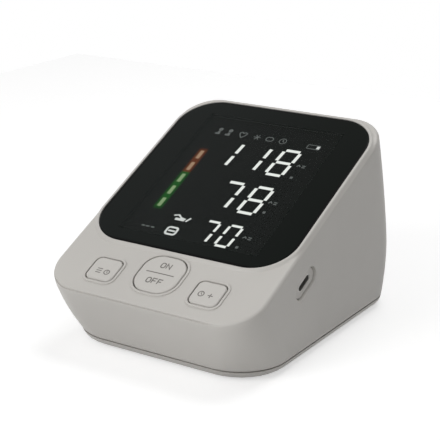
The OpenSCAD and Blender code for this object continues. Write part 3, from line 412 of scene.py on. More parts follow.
def edge_points(angle):
    """The ring of the edge at an angle from the deck, 0, to the wall, 90."""
    a = math.radians(angle)
    points = []
    for i, ((x, s), (ox, os)) in enumerate(case_line):
        gap = -depth_inside(x, s, **LENS)
        inmost = min(EDGE_R, BESIDE_LENS * gap)
        lowest = math.acos(1 - inmost / EDGE_R)
        a_here = (math.pi / 2 - lowest) + a * lowest / (math.pi / 2)
        inset = EDGE_R * (1 - math.sin(a_here))
        drop = EDGE_R * (1 - math.cos(a_here))
        if angle > 45:
            low = (angle - 45) / 45
            drop += SHOULDER * shoulder_share(i) * low ** 2.2
            inset *= 1 + 0.35 * shoulder_share(i) * math.sin(math.pi * low)
        cut = GROOVE_DEPTH * GROOVE_ANGLES.get(angle, 0) * groove_share(i)
        inset, drop = inset + GROOVE_LEAN * cut, drop + GROOVE_LEAN * cut
        gone_x, gone_s = x - ox * inset, s - os * inset
        rise = RIM_H * (1 - smooth((-depth_inside(gone_x, gone_s, **LENS) - RIM_FLAT)
                                   / RIM_FALL))
        points.append((gone_x, gone_s, rise - drop))
    return points


print("inner ring of the edge:", [round(v, 2) for v in edge_points(0)[120]])

# %% [markdown]
# ## The upper housing as one closed shell
# From the deck the rings go over the edge and down the wall, round the rim at
# the parting line, up the inside, and across the underside of the deck to the
# key holes and the window, so the shell has its true wall thickness.

# %% Lead the rings round the wall
WALL = 2.2
UNDER_N = -2.2
FOOT_BEVEL = ((0.55, 0.0), (0.2, 0.16), (0.0, 0.5))


def bevel_share(out):
    """The bevel is full at the sides and fine in front and behind."""
    return 0.3 + 0.7 * max(out[0], 0)


def shell_rings(bm):
    """The outside and inside of the housing; gives the loops that fills need."""
    top_ring = edge_points(0)
    rings = [ring(bm, [on_slope(*p) for p in edge_points(a)]) for a in EDGE_ANGLES]
    last = [on_slope(*p) for p in edge_points(EDGE_ANGLES[-1])]
    for row in range(1, WALL_ROWS):
        t = row / WALL_ROWS
        rings.append(ring(bm, [wall_point(last[i], base_line[i][0], SHARES[i], t)
                               for i in range(len(last))]))
    for lift, inset in FOOT_BEVEL:
        rings.append(ring(bm, [
            wall_point(p, (foot[0] - out[0] * inset * bevel_share(out),
                           foot[1] - out[1] * inset * bevel_share(out)), share,
                       1 - lift / (p.z - WALL_FOOT))
            for p, (foot, out), share in zip(last, base_line, SHARES)]))
    inner_top = outline(**CASE, grow=-WALL)
    inner_base = outline(**BASE, grow=-WALL)
    inside = [on_slope(p[0], p[1], UNDER_N) for p, _ in inner_top]
    for row in range(WALL_ROWS, -1, -1):
        t = row / WALL_ROWS
        rings.append(ring(bm, [wall_point(inside[i], inner_base[i][0], SHARES[i], t)
                               for i in range(len(inside))]))
    for first, second in zip(rings, rings[1:]):
        bridge(bm, first, second)
    outer = (rings[0], [(p[0], p[1]) for p in top_ring])
    inner = (rings[-1], [p for p, _ in inner_top])
    return outer, inner


print("wall thickness:", WALL, "mm")

# %% [markdown]
# The rim round the lens falls to the deck on its outside. On its inside it
# stands round the lens's edge, and below that lie the ledge that carries the
# lens and the window for the display.

# %% Lead the rings into the seat of the lens
RECESS_N = -1.15


def lens_seat(bm):
    """The rim's inner edge, the seat of the lens, its ledge and the window."""
    rings, flat = [], []
    for share in (1.0, 0.75, 0.5, 0.28, 0.12, 0.0):
        points = []
        for (x, s), (ox, os) in lens_line:
            gap = depth_inside(x, s, **CASE)
            reach = min(RIM_FLAT + RIM_FALL, BESIDE_LENS * gap)
            d = LENS_GAP + 0.2 + (reach - LENS_GAP - 0.2) * share
            points.append((x + ox * d, s + os * d))
        if share == 1.0:
            flat = points
        rings.append(ring(bm, [on_slope(x, s, deck_height(x, s)) for x, s in points]))
    for d, n in ((0.23, 0.77), (0.17, 0.70), (LENS_GAP, 0.60), (LENS_GAP, RECESS_N)):
        rings.append(ring(bm, [on_slope(x + ox * d, s + os * d, n)
                               for (x, s), (ox, os) in lens_line]))
    window = outline(**WINDOW)
    for n in (RECESS_N, UNDER_N):
        rings.append(ring(bm, [on_slope(p[0], p[1], n) for p, _ in window]))
    for first, second in zip(rings, rings[1:]):
        bridge(bm, first, second)
    return (rings[0], flat), (rings[-1], [p for p, _ in window])


print("the ledge lies", -RECESS_N, "mm below the deck")

# %% [markdown]
# A low collar is moulded round each key hole, which gives the keys their double
# outline. The large key's collar nearly reaches the rim of the lens, so it is
# squeezed there: loops that cross would tear the deck.

# %% Lead the rings into the key holes
HOLE_GAP = 0.5
COLLAR_H, COLLAR_W = 0.55, 1.0
COLLAR_ROOM, SQUEEZE = 27.3, 0.18
HOLE_MOUTH = 0.2


def beside_rim(s):
    """Squeezes what lies beyond the room that the rim of the lens leaves."""
    return s if s < COLLAR_ROOM else COLLAR_ROOM + SQUEEZE * (s - COLLAR_ROOM)


def key_holes(bm):
    """The three holes with their collars and rounded upper edges."""
    tops, unders = [], []
    for key in KEYS.values():
        rings = []
        for grow, n in ((COLLAR_W + 0.25, 0.0), (COLLAR_W + 0.06, 0.04), (COLLAR_W, 0.1),
                        (COLLAR_W - 0.04, COLLAR_H - 0.1), (COLLAR_W - 0.14, COLLAR_H),
                        (HOLE_MOUTH, COLLAR_H), (0.08, COLLAR_H - 0.03),
                        (0.0, COLLAR_H - 0.14), (0.0, UNDER_N)):
            flat = [(x, beside_rim(s)) for x, s in key_outline(key, HOLE_GAP + grow)]
            rings.append((ring(bm, [on_slope(x, s, n) for x, s in flat]), flat))
        for (first, _), (second, _) in zip(rings, rings[1:]):
            bridge(bm, first, second)
        tops.append(rings[0])
        unders.append(rings[-1])
    return tops, unders


print("collars:", COLLAR_W, "mm wide and", COLLAR_H, "mm high")

# %% [markdown]
# Two fills close the deck and its underside between those loops. The grid of
# extra corners covers the front, where there are wide areas round the key holes.

# %% Loft the shell
shell = bmesh.new()
deck_edge, under_edge = shell_rings(shell)
seat_edge, window_edge = lens_seat(shell)
hole_tops, hole_unders = key_holes(shell)
grid = [(x, s) for x in range(-44, 45, 4) for s in range(3, 28, 4)]
print("deck faces:", fill(shell, [deck_edge, seat_edge] + hole_tops, deck_height, grid))
print("underside faces:", fill(shell, [under_edge, window_edge] + hole_unders,
                               lambda x, s: UNDER_N))

# %% [markdown]
# ## Cutters
# A hole in a wall is cut with a closed solid of rings. Its mouth flares a
# little, because that leaves a softly rounded edge behind. A cutter whose last
# ring joins its first one has the form of a groove.

# %% Draw cutters
def cutter(name, layers, endless=False):
    """A closed solid from rings, kept only to cut with; endless for a groove."""
    bm = bmesh.new()
    rings = [ring(bm, layer) for layer in layers]
    for first, second in zip(rings, rings[1:] + rings[:1] if endless else rings[1:]):
        bridge(bm, first, second)
    if not endless:
        bm.faces.new(rings[0])
        bm.faces.new(rings[-1])
    bmesh.ops.recalc_face_normals(bm, faces=bm.faces)
    mesh = bpy.data.meshes.new(name)
    bm.to_mesh(mesh)
    bm.free()
    obj = bpy.data.objects.new(name, mesh)
    bpy.context.scene.collection.objects.link(obj)
    print(name, len(mesh.vertices), "corners")
    return obj


# %% [markdown]
# ## Sockets in the side walls
# The charging socket sits at the bottom of a shallow recess like a long pill,
# tilted along the slope, on the right wall, and a fine gap in its floor shows
# that the socket's surround is an insert. The round air socket has its seat on
# the left wall. Each cutter is a table of places outward of the wall and sizes.

# %% Shape the recess and the holes
USB_S, USB_N = 41.2, -13.9
AIR_Y, AIR_Z = -20.0, 25.35
SIDE_X = CASE["half_w"]
RECESS = ((-0.9, 8.0, 4.0), (-0.35, 8.0, 4.0), (-0.1, 8.12, 4.12), (0.02, 8.4, 4.4), (1, 9.4, 5.4))
INSERT_GAP = ((-0.5, 7.75, 3.75), (-1.7, 7.75, 3.75), (-1.7, 7.25, 3.25), (-0.5, 7.25, 3.25))
SLOT = ((-4, 4.62, 1.75), (-0.5, 4.62, 1.75))
AIR_SEAT = ((-1.6, 6.65), (-0.1, 6.65), (0.02, 6.8), (1, 7.8))
AIR_HOLE = ((-4, 4.35), (-1, 4.35))


def pill(half_l, r, arc=14):
    """Points of a pill along the slope, as places (s, n)."""
    flat = []
    for end in (1, -1):
        for i in range(arc + 1):
            a = math.radians(-90 + 180 * i / arc)
            flat.append((end * (half_l - r + r * math.cos(a)), end * r * math.sin(a)))
    return flat


def right_pills(layers):
    return [[on_slope(SIDE_X + out, USB_S + s, USB_N + n) for s, n in pill(half_l, r)]
            for out, half_l, r in layers]


def left_discs(layers, count=64):
    angles = [2 * math.pi * i / count for i in range(count)]
    return [[Vector((-SIDE_X - out, AIR_Y + r * math.cos(a), AIR_Z + r * math.sin(a)))
             for a in angles] for out, r in layers]


cutters = [cutter("recess", right_pills(RECESS)),
           cutter("insert_gap", right_pills(INSERT_GAP), endless=True),
           cutter("slot", right_pills(SLOT)),
           cutter("air_seat", left_discs(AIR_SEAT)),
           cutter("air_hole", left_discs(AIR_HOLE))]

# %% [markdown]
# The exact solver cuts cleanly even where two faces nearly touch. The result
# becomes the shell's own mesh, so that bosses can be added to it afterwards.

# %% Cut the shell
housing = piece("housing_shell", shell, "housing", "housing_plastic", "upper_housing")
for tool in cutters:
    cutting = housing.modifiers.new(tool.name, "BOOLEAN")
    cutting.operation, cutting.solver, cutting.object = "DIFFERENCE", "EXACT", tool
bpy.context.view_layer.update()
after_cuts = housing.evaluated_get(bpy.context.evaluated_depsgraph_get())
housing.data = bpy.data.meshes.new_from_object(after_cuts)
housing.modifiers.clear()
for tool in cutters:
    bpy.data.objects.remove(tool)
print("housing after cutting:", len(housing.data.vertices), "corners")

# %% [markdown]
# ## Bosses inside the housing
# Four long bosses take the housing screws, each held by a rib to the side wall,
# and six short ones hang under the deck and carry the main board. They can be
# seen only when the shells are opened, but they are part of the moulding.

# %% Draw bosses and ribs
def tube(bm, place, outer, inner, low, high, blind, count=32):
    """A boss with a blind hole; place(x, y, level) gives a point."""
    def circle(r, level):
        return ring(bm, [place(r * math.cos(2 * math.pi * i / count),
                               r * math.sin(2 * math.pi * i / count), level)
                         for i in range(count)])
    rings = [circle(outer, high), circle(outer, low + 0.3), circle(outer - 0.3, low),
             circle(inner, low), circle(inner, blind)]
    for first, second in zip(rings, rings[1:]):
        bridge(bm, first, second)
    bm.faces.new(rings[0])
    bm.faces.new(rings[-1])


def rib(bm, lo, hi):
    """A plain block between two corners."""
    made = bmesh.ops.create_cube(bm, size=1)["verts"]
    for v in made:
        v.co = Vector([(a if c < 0 else b) * MM for c, a, b in zip(v.co, lo, hi)])
    return made


print("made: a tube for bosses, a block for ribs")

# %% [markdown]
# The side walls run inwards at the rear corners, so the ribs end sooner there.

# %% Add the bosses
BOARD_BOSSES = [(x * sx, s) for sx in (-1, 1) for x, s in ((24.2, 23.4), (40.5, 74), (40.5, 106))]
HOUSING_BOSSES = [(x * sx, y) for sx in (-1, 1) for x, y in ((36.0, -31.0), (36.5, 52.5))]
RIB_LOW, RIB_HIGH, RIB_HALF_T = 12.0, 28.0, 0.6
RIB_END_FRONT, RIB_END_REAR = 47.0, 45.5
SHELL_SHARP = math.radians(28)

inner_forms = bmesh.new()
inner_forms.from_mesh(housing.data)
for bx, bs in BOARD_BOSSES:
    tube(inner_forms, lambda x, y, n, bx=bx, bs=bs: on_slope(bx + x, bs + y, n),
         outer=2.5, inner=1.05, low=-10.7, high=-1.7, blind=-2.2)
for bx, by in HOUSING_BOSSES:
    tube(inner_forms, lambda x, y, z, bx=bx, by=by: Vector((bx + x, by + y, z)),
         outer=4.0, inner=1.45, low=RIB_LOW, high=RIB_HIGH, blind=25.0)
    side = 1 if bx > 0 else -1
    end_x = RIB_END_FRONT if by < 0 else RIB_END_REAR
    ends = sorted((side * (abs(bx) + 1.4), side * end_x))
    rib(inner_forms, (ends[0], by - RIB_HALF_T, RIB_LOW), (ends[1], by + RIB_HALF_T, RIB_HIGH))

inner_forms.to_mesh(housing.data)
inner_forms.free()
housing.data.polygons.foreach_set("use_smooth", [True] * len(housing.data.polygons))
housing.data.set_sharp_from_angle(angle=SHELL_SHARP)
print("housing with its bosses:", len(housing.data.vertices), "corners")

# %% [markdown]
# ## The keys
# Each key is a moulded cap with a soft edge and a slightly crowned top. Below
# the deck it has a flange that keeps it in and a plunger for its switch. The
# same outline, grown or shrunk, gives all its rings.

# %% List the rings of a key
KEY_TOP, CROWN, CAP_ROUND = 0.9, 0.22, 0.75
FLANGE_TOP, FLANGE_T, FLANGE_W = -2.5, 1.2, 1.1
PLUNGER_R, PLUNGER_END = 1.6, -5.1


def cap_height(key, x, s):
    """The height of a key's top at a place near its middle."""
    ux, us = (x - key["x"]) / key["half_w"], (s - key["s"]) / key["half_l"]
    return KEY_TOP - CROWN * min(ux * ux + us * us, 1.4) / 1.4


def cap_rings(key):
    """The rings from the end of the plunger to the crown, one by one."""
    def layer(grow, n):
        return [on_slope(x, s, n) for x, s in key_outline(key, grow)]

    count = sum(KEY_COUNTS)
    turns = [math.radians(-90 - 45 + 360 * i / count) for i in range(count)]
    plunger = [(PLUNGER_R * math.cos(a), PLUNGER_R * math.sin(a)) for a in turns]
    for n in (PLUNGER_END, FLANGE_TOP - FLANGE_T):
        yield [on_slope(key["x"] + x, key["s"] + s, n) for x, s in plunger]
    yield layer(FLANGE_W, FLANGE_TOP - FLANGE_T)
    yield layer(FLANGE_W, FLANGE_TOP)
    yield layer(0.0, FLANGE_TOP)
    yield layer(0.0, -0.6)
    edge_top = KEY_TOP - CROWN * 0.75
    yield layer(0.0, edge_top - CAP_ROUND)
    for a in (math.radians(v) for v in (22, 45, 62, 76)):
        yield layer(-CAP_ROUND * (1 - math.cos(a)), edge_top - CAP_ROUND * (1 - math.sin(a)))
    for share in (1.0, 0.96, 0.88, 0.76, 0.6, 0.42, 0.22):
        flat = [(key["x"] + (x - key["x"]) * share, key["s"] + (s - key["s"]) * share)
                for x, s in key_outline(key, -CAP_ROUND)]
        yield [on_slope(x, s, cap_height(key, x, s)) for x, s in flat]


print("rings of a key:", len(list(cap_rings(KEYS["key_middle"]))))

# %% [markdown]
# Bridges join the rings, and a fan of triangles closes each end. The caps ride
# on their own bodies, so that each one can be pressed.

# %% Model the key caps
def key_cap(name, key):
    bm = bmesh.new()
    rings = [ring(bm, points) for points in cap_rings(key)]
    for first, second in zip(rings, rings[1:]):
        bridge(bm, first, second)
    for end in (rings[0], rings[-1]):
        middle = bm.verts.new(sum((v.co for v in end), Vector()) / len(end))
        for i in range(len(end)):
            bm.faces.new((end[i], end[(i + 1) % len(end)], middle))
    return piece(f"{name}_cap", bm, key["body"], "key_plastic", name)


key_caps = {name: key_cap(name, key) for name, key in KEYS.items()}
print("key tops stand", KEY_TOP, "mm above the deck")

# %% [markdown]
# ## The lens
# One slab of smoked acrylic, 1.6 mm thick, lies in the seat. Its front edges
# are polished to a small rounding. The slab stays a hair above the light pipes
# behind it, so that their faces don't lie in the same plane.

# %% Model the lens
LENS_TOP, LENS_UNDER = 0.65, -0.92
lens_mesh = bmesh.new()
lens_rings = [ring(lens_mesh, [on_slope(x - ox * d, s - os * d, n)
                               for (x, s), (ox, os) in lens_line])
              for d, n in ((0.0, LENS_UNDER), (0.0, LENS_TOP - 0.3), (0.03, LENS_TOP - 0.16),
                           (0.1, LENS_TOP - 0.06), (0.22, LENS_TOP), (0.8, LENS_TOP))]
for lower, upper in zip(lens_rings, lens_rings[1:]):
    bridge(lens_mesh, lower, upper)
lens_mesh.faces.new(lens_rings[0])
lens_mesh.faces.new(lens_rings[-1])
lens = piece("lens_slab", lens_mesh, "housing", "lens_black", "lens_panel")

# %% [markdown]
# ## Signs and prints drawn with strokes
# The small signs behind the lens and the prints on the keys are drawn with
# strokes of one width, as a pen would. A stroke is a ribbon along a list of
# places with mitred corners, a few hundredths of a millimetre thick, laid on a
# surface that is given as a function of the place. A very sharp corner is cut
# short, as a mitre there would reach too far.

# %% Draw strokes
LEAST_MITRE = 0.4


def stroke(bm, places, width, height, closed=False, thick=0.03):
    """A thin ribbon along places (x, s), standing on height(x, s)."""
    count = len(places)
    rows = []
    for i, (x, s) in enumerate(places):
        before = places[i - 1] if i or closed else None
        after = places[(i + 1) % count] if i + 1 < count or closed else None
        ways = []
        for a, b in ((before, (x, s)), ((x, s), after)):
            if a is not None and b is not None:
                ways.append(Vector((b[0] - a[0], b[1] - a[1])).normalized())
        way = (ways[0] + ways[-1]).normalized()
        aside = Vector((-way.y, way.x))
        reach = width / 2 / max(aside.dot(Vector((-ways[0].y, ways[0].x))), LEAST_MITRE)
        row = []
        for hand, level in ((-1, 0.0), (-1, thick), (1, thick), (1, 0.0)):
            px, ps = x + hand * aside.x * reach, s + hand * aside.y * reach
            row.append(bm.verts.new(on_slope(px, ps, height(px, ps) + level) * MM))
        rows.append(row)
    for first, second in zip(rows, rows[1:] + rows[:1] if closed else rows[1:]):
        bridge(bm, first, second)
    if not closed:
        bm.faces.new(rows[0])
        bm.faces.new(rows[-1])


def loop_places(x, s, half_w, half_l, r, arc=5):
    """A rounded closed line round a place."""
    places = []
    for turn, (cx, cs) in enumerate(((half_w - r, r - half_l), (half_w - r, half_l - r),
                                     (r - half_w, half_l - r), (r - half_w, r - half_l))):
        for i in range(arc + 1):
            a = math.radians(-90 + 90 * turn + 90 * i / arc)
            places.append((x + cx + r * math.cos(a), s + cs + r * math.sin(a)))
    return places


print("a ring has", len(loop_places(0, 0, 1, 1, 0.99)), "places")

# %% [markdown]
# ## Three letters
# The keys need only O, N and F, so each letter is a stroke or two in a box that
# is a bit narrower than it is tall.

# %% Draw letters
def letters(bm, word, x, s, tall, width, height):
    """Writes a word of O, N and F around a place."""
    wide = tall * 0.72
    left = x - (len(word) - 1) * wide * 0.72
    for i, letter in enumerate(word):
        cx, h, w = left + i * wide * 1.44, tall / 2, wide / 2
        if letter == "O":
            stroke(bm, loop_places(cx, s, w, h, w * 0.9), width, height, closed=True)
        elif letter == "N":
            stroke(bm, [(cx - w, s - h), (cx - w, s + h), (cx + w, s - h), (cx + w, s + h)],
                   width, height)
        else:
            stroke(bm, [(cx - w, s - h), (cx - w, s + h), (cx + w, s + h)], width, height)
            stroke(bm, [(cx - w + width / 2, s), (cx + w * 0.7, s)], width, height)


print("letters: O, N, F")

# %% [markdown]
# ## The prints on the keys
# The large key says ON above a line and OFF below it. The left key carries a
# list and a clock for the stored values, and the right one a clock and a plus
# for setting the time. They are pad-printed in grey ink on the crowned tops, so
# each stroke follows the crown.

# %% Print the keys
INK_SUNK = 0.012


def key_print(name, draw):
    bm = bmesh.new()
    key = KEYS[name]
    draw(bm, lambda x, s: cap_height(key, x, s) - INK_SUNK)
    return piece(f"{name}_print", bm, key["body"], "socket_plastic")


def print_left(bm, top):
    for k in range(3):
        stroke(bm, [(-26.9, 13.1 - 1.05 * k), (-24.5, 13.1 - 1.05 * k)], 0.42, top)
    stroke(bm, loop_places(-21.9, 11.9, 1.15, 1.15, 1.14), 0.42, top, closed=True)
    stroke(bm, [(-21.9, 12.7), (-21.9, 11.9), (-21.3, 11.5)], 0.3, top)


def print_middle(bm, top):
    letters(bm, "ON", 0.3, 21.7, 2.5, 0.5, top)
    stroke(bm, [(-6.4 + 0.8 * k, 17.4) for k in range(17)], 0.45, top)
    letters(bm, "OFF", 0.0, 13.2, 2.5, 0.5, top)


def print_right(bm, top):
    stroke(bm, loop_places(21.9, 12.5, 1.2, 1.2, 1.19), 0.42, top, closed=True)
    stroke(bm, [(21.9, 13.3), (21.9, 12.5), (22.5, 12.1)], 0.3, top)
    stroke(bm, [(24.9, 12.4), (27.1, 12.4)], 0.42, top)
    stroke(bm, [(26.0, 11.3), (26.0, 13.5)], 0.42, top)


key_prints = [key_print("key_left", print_left), key_print("key_middle", print_middle),
              key_print("key_right", print_right)]

# %% [markdown]
# ## Drawing behind the lens
# What glows behind the lens are the ends of light pipes in the display module.
# From outside only those ends show, so here they are strokes on the module's
# face, two hundredths of a millimetre thick.

# %% Draw on the module's face
MODULE_FACE = -0.95


def mark(bm, width, *places, closed=False):
    """A stroke on the face of the display module."""
    stroke(bm, list(places), width, lambda x, s: MODULE_FACE, closed, thick=0.02)


def ring_mark(bm, width, x, s, half_w, half_l, r):
    """A rounded closed line on the face of the display module."""
    mark(bm, width, *loop_places(x, s, half_w, half_l, r), closed=True)


def face_piece(name, slot, draw, *nodes):
    bm = bmesh.new()
    draw(bm)
    return piece(name, bm, "housing", slot, *nodes)


print("the module's face lies", -MODULE_FACE, "mm below the deck")

# %% [markdown]
# ## The lit figures
# Each figure has up to seven bars. The bars are thick, their ends are cut
# square and stand clear of one another, and the whole figure leans by five
# degrees. The lit bars replace the plain ones of the CAD model.

# %% Draw the lit bars
FIGURE_W, FIGURE_H, FIGURE_LEAN = 7.6, 15.6, math.tan(math.radians(5))
FIGURE_X, FIGURE_PITCH, SMALL = 14.7, 13.69, 0.76
BAR_ENDS = {"a": (-1, 1, 1, 1), "b": (1, 1, 1, 0), "c": (1, 0, 1, -1), "d": (-1, -1, 1, -1),
            "e": (-1, 0, -1, -1), "f": (-1, 1, -1, 0), "g": (-1, 0, 1, 0)}
LIT_BARS = {1: "bc", 7: "abc", 8: "abcdefg", 0: "abcdef"}
ROWS = ((90.9, 1.0, (1, 1, 8)), (66.9, 1.0, (7, 8)), (45.1, SMALL, (7, 0)))


def lit_bar(bm, x, s, share, ends):
    """One bar of a figure whose middle is at x and s."""
    (x0, s0, x1, s1), upright = ends, ends[0] == ends[2]
    short = (0.95 if upright else 0.5) * share
    way_x, way_s = (0, -1) if upright else (1, 0)
    places = []
    for px, ps, sign in ((x0, s0, 1), (x1, s1, -1)):
        a = px * FIGURE_W / 2 * share + way_x * short * sign
        b = ps * FIGURE_H / 2 * share + way_s * short * sign
        places.append((x + a + b * FIGURE_LEAN, s + b))
    mark(bm, 1.5 * (share + 0.12 * (1 - share)), *places)


def draw_figures(bm):
    for row_s, share, digits in ROWS:
        for i, digit in enumerate(digits):
            x = FIGURE_X - (len(digits) - 1 - i) * FIGURE_PITCH * share
            for bar in LIT_BARS[digit]:
                lit_bar(bm, x, row_s, share, BAR_ENDS[bar])


lit_digits = face_piece("lit_digits", "figure_white", draw_figures, "lit_figures")

# %% [markdown]
# ## The signs behind the lens
# The small signs are strokes too. A cuffed arm, a rounded box and the charge of
# a battery are brightly lit.

# %% Draw the bright signs
def bright_signs(bm):
    """The cuffed arm, the rounded box and the battery's charge."""
    mark(bm, 0.7, (-14.4, 50.3), (-12.2, 51.0), (-10.6, 49.6), (-8.2, 49.2))
    mark(bm, 1.3, (-12.9, 48.6), (-8.4, 48.6))
    mark(bm, 0.8, (-7.6, 48.0), (-6.2, 50.4))
    ring_mark(bm, 0.95, -10.4, 41.7, 2.35, 2.0, 1.1)
    mark(bm, 0.85, (-12.0, 41.7), (-8.8, 41.7))
    mark(bm, 1.7, (24.1, 103.2), (25.5, 103.2))


lit_signs = face_piece("lit_signs", "figure_white", bright_signs)

# %% [markdown]
# The battery's outline, six signs above the figures and the unit marks beside
# them are only faintly lit, so they are a piece of their own with a dimmer
# finish.

# %% Draw the faint signs
UNIT_MARKS = ((23.2, 90.7, 22.5, 83.3), (22.6, 67.3, 21.8, 61.3), (22.6, 46.1, 21.1, 40.3))


def top_signs(bm):
    """Two busts, a heart, a star, a box and a clock, beside the battery."""
    ring_mark(bm, 0.34, 22.6, 103.2, 2.9, 1.2, 0.5)
    for x in (-24.0, -19.0):
        ring_mark(bm, 0.8, x + 0.1, 105.2, 0.6, 0.6, 0.59)
        mark(bm, 1.0, (x - 1.5, 102.4), (x + 0.9, 102.4))
        mark(bm, 1.0, (x - 0.5, 103.4), (x + 0.6, 103.4))
    mark(bm, 0.45, (-14.0, 105.0), (-12.9, 105.5), (-12.2, 104.8), (-11.5, 105.5),
         (-10.4, 105.0), (-10.9, 103.5), (-12.2, 102.0), (-13.5, 103.5), closed=True)
    for k in range(3):
        a = math.radians(60 * k)
        mark(bm, 0.36, (-5.0 - 1.7 * math.cos(a), 103.8 - 1.7 * math.sin(a)),
             (-5.0 + 1.7 * math.cos(a), 103.8 + 1.7 * math.sin(a)))
    ring_mark(bm, 0.42, 1.2, 103.8, 1.7, 1.2, 1.1)
    ring_mark(bm, 0.36, 7.6, 103.8, 1.6, 1.6, 1.59)
    mark(bm, 0.36, (7.6, 104.8), (7.6, 103.8), (8.4, 103.3))


def side_signs(bm):
    """A unit mark and a dot beside each row, and three dashes on the left."""
    for x, s, dot_x, dot_s in UNIT_MARKS:
        mark(bm, 0.5, (x - 1.9, s - 0.5), (x - 1.1, s + 0.5), (x - 0.3, s - 0.3))
        mark(bm, 0.5, (x + 0.4, s + 0.4), (x + 1.9, s + 0.4))
        mark(bm, 0.5, (x + 0.4, s - 0.6), (x + 1.9, s - 0.6))
        mark(bm, 1.2, (dot_x - 0.6, dot_s), (dot_x + 0.6, dot_s))
    for x in (-24.2, -22.0, -19.6):
        mark(bm, 0.7, (x - 0.8, 41.6), (x + 0.8, 41.6))


def faint_marks(bm):
    top_signs(bm)
    side_signs(bm)


faint_signs = face_piece("faint_signs", "figure_dark", faint_marks)

# %% [markdown]
# ## Smoothing the CAD solids
# The other solids come straight from the CAD model, with flat facets on their
# curves. A small modifier, the same for all of them, joins doubled corners and
# shades the surfaces smoothly, with sharp edges where faces meet at over 30
# degrees. It changes no corner's place.

# %% Smooth every CAD solid
smoother = bpy.data.node_groups.new("smooth shading", "GeometryNodeTree")
smoother.interface.new_socket("Geometry", in_out="INPUT", socket_type="NodeSocketGeometry")
smoother.interface.new_socket("Geometry", in_out="OUTPUT", socket_type="NodeSocketGeometry")


def smoother_step(kind, before, settings=None, values=None):
    made = smoother.nodes.new(kind)
    for key, value in (settings or {}).items():
        setattr(made, key, value)
    for key, value in (values or {}).items():
        made.inputs[key].default_value = value
    smoother.links.new(before.outputs[0], made.inputs[0])
    return made


start = smoother.nodes.new("NodeGroupInput")
bare = smoother_step("GeometryNodeRemoveAttribute", start, None, {"Name": "custom_normal"})
joined = smoother_step("GeometryNodeMergeByDistance", bare, None, {"Distance": 1e-6})
soft = smoother_step("GeometryNodeSetShadeSmooth", joined, {"domain": "FACE"},
                     {"Shade Smooth": True})
creased = smoother_step("GeometryNodeSetShadeSmooth", soft, {"domain": "EDGE"},
                        {"Shade Smooth": False})
angle = smoother.nodes.new("GeometryNodeInputMeshEdgeAngle")
steep = smoother.nodes.new("ShaderNodeMath")
steep.operation = "GREATER_THAN"
steep.inputs[1].default_value = math.radians(30)
smoother.links.new(angle.outputs[0], steep.inputs[0])
smoother.links.new(steep.outputs[0], creased.inputs["Selection"])
end = smoother.nodes.new("NodeGroupOutput")
smoother.links.new(creased.outputs[0], end.inputs[0])
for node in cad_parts.values():
    node.modifiers.new("smooth shading", "NODES").node_group = smoother
print("smoothed", len(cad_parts), "solids")

# %% [markdown]
# ## Shader sums written as Python
# A material is a little machine of nodes. The class below wraps a socket, so
# that numbers over a surface are added and multiplied with plain signs.

# %% Wrap a socket
class Signal:
    """A number or colour that changes over a surface."""

    def __init__(self, nodes, socket):
        self.nodes, self.socket = nodes, socket

    def math(self, operation, *terms):
        return self.nodes.node("ShaderNodeMath", {"operation": operation},
                               dict(enumerate(terms)))

    def __add__(self, other):
        return self.math("ADD", self, other)

    def __sub__(self, other):
        return self.math("SUBTRACT", self, other)

    def __rsub__(self, other):
        return self.math("SUBTRACT", other, self)

    def __mul__(self, other):
        return self.math("MULTIPLY", self, other)

    def __truediv__(self, other):
        return self.math("DIVIDE", self, other)

    def __rtruediv__(self, other):
        return self.math("DIVIDE", other, self)

    __radd__, __rmul__ = __add__, __mul__

    def size(self):
        return self.math("ABSOLUTE", self)

    def root(self):
        return self.math("SQRT", self)

    def most(self, other):
        return self.math("MAXIMUM", self, other)

    def step(self, low, high):
        """A soft step from 0 at low to 1 at high, or down where low is more."""
        made = self.nodes.node(
            "ShaderNodeMapRange", {"interpolation_type": "SMOOTHSTEP"},
            {"Value": self, "From Min": min(low, high), "From Max": max(low, high)})
        return made if low < high else 1 - made


print("signs that a signal knows:", sum(name[:3] == "__r" for name in vars(Signal)))

# %% [markdown]
# ## Adding nodes
# One method adds any node: its type, its settings, then its values or links. A
# few more name the nodes that nearly every material needs.

# %% Wrap a tree of nodes
class Nodes:
    """A tree of nodes, and short names for the common ones."""

    def __init__(self, tree):
        self.tree = tree

    def node(self, kind, settings=None, values=None, out=0):
        made = self.tree.nodes.new(kind)
        for key, value in (settings or {}).items():
            setattr(made, key, value)
        for key, value in (values or {}).items():
            if isinstance(value, Signal):
                self.tree.links.new(value.socket, made.inputs[key])
            else:
                made.inputs[key].default_value = value
        return Signal(self, made.outputs[out])

    def place(self):
        return self.node("ShaderNodeTexCoord", out="Object")

    def axis(self, vector, direction):
        """How far a place lies along a direction."""
        return self.node("ShaderNodeVectorMath", {"operation": "DOT_PRODUCT"},
                         {0: vector, 1: direction}, out="Value")

    def noise(self, scale, detail=3.0, rough=0.5, vector=None):
        return self.node("ShaderNodeTexNoise", None,
                         {"Vector": vector or self.place(), "Scale": scale,
                          "Detail": detail, "Roughness": rough})

    def blend(self, share, first, second):
        """A colour between two colours."""
        return self.node("ShaderNodeMix", {"data_type": "RGBA"},
                         {0: share, 6: first, 7: second}, out=2)


print("ways to add nodes:", [name for name in vars(Nodes) if name[0] != "_"])

# %% [markdown]
# ## A finish
# A finish is a tree with a Principled shader. What is the same all over is set
# once, and what changes over the surface is fed to the shader.

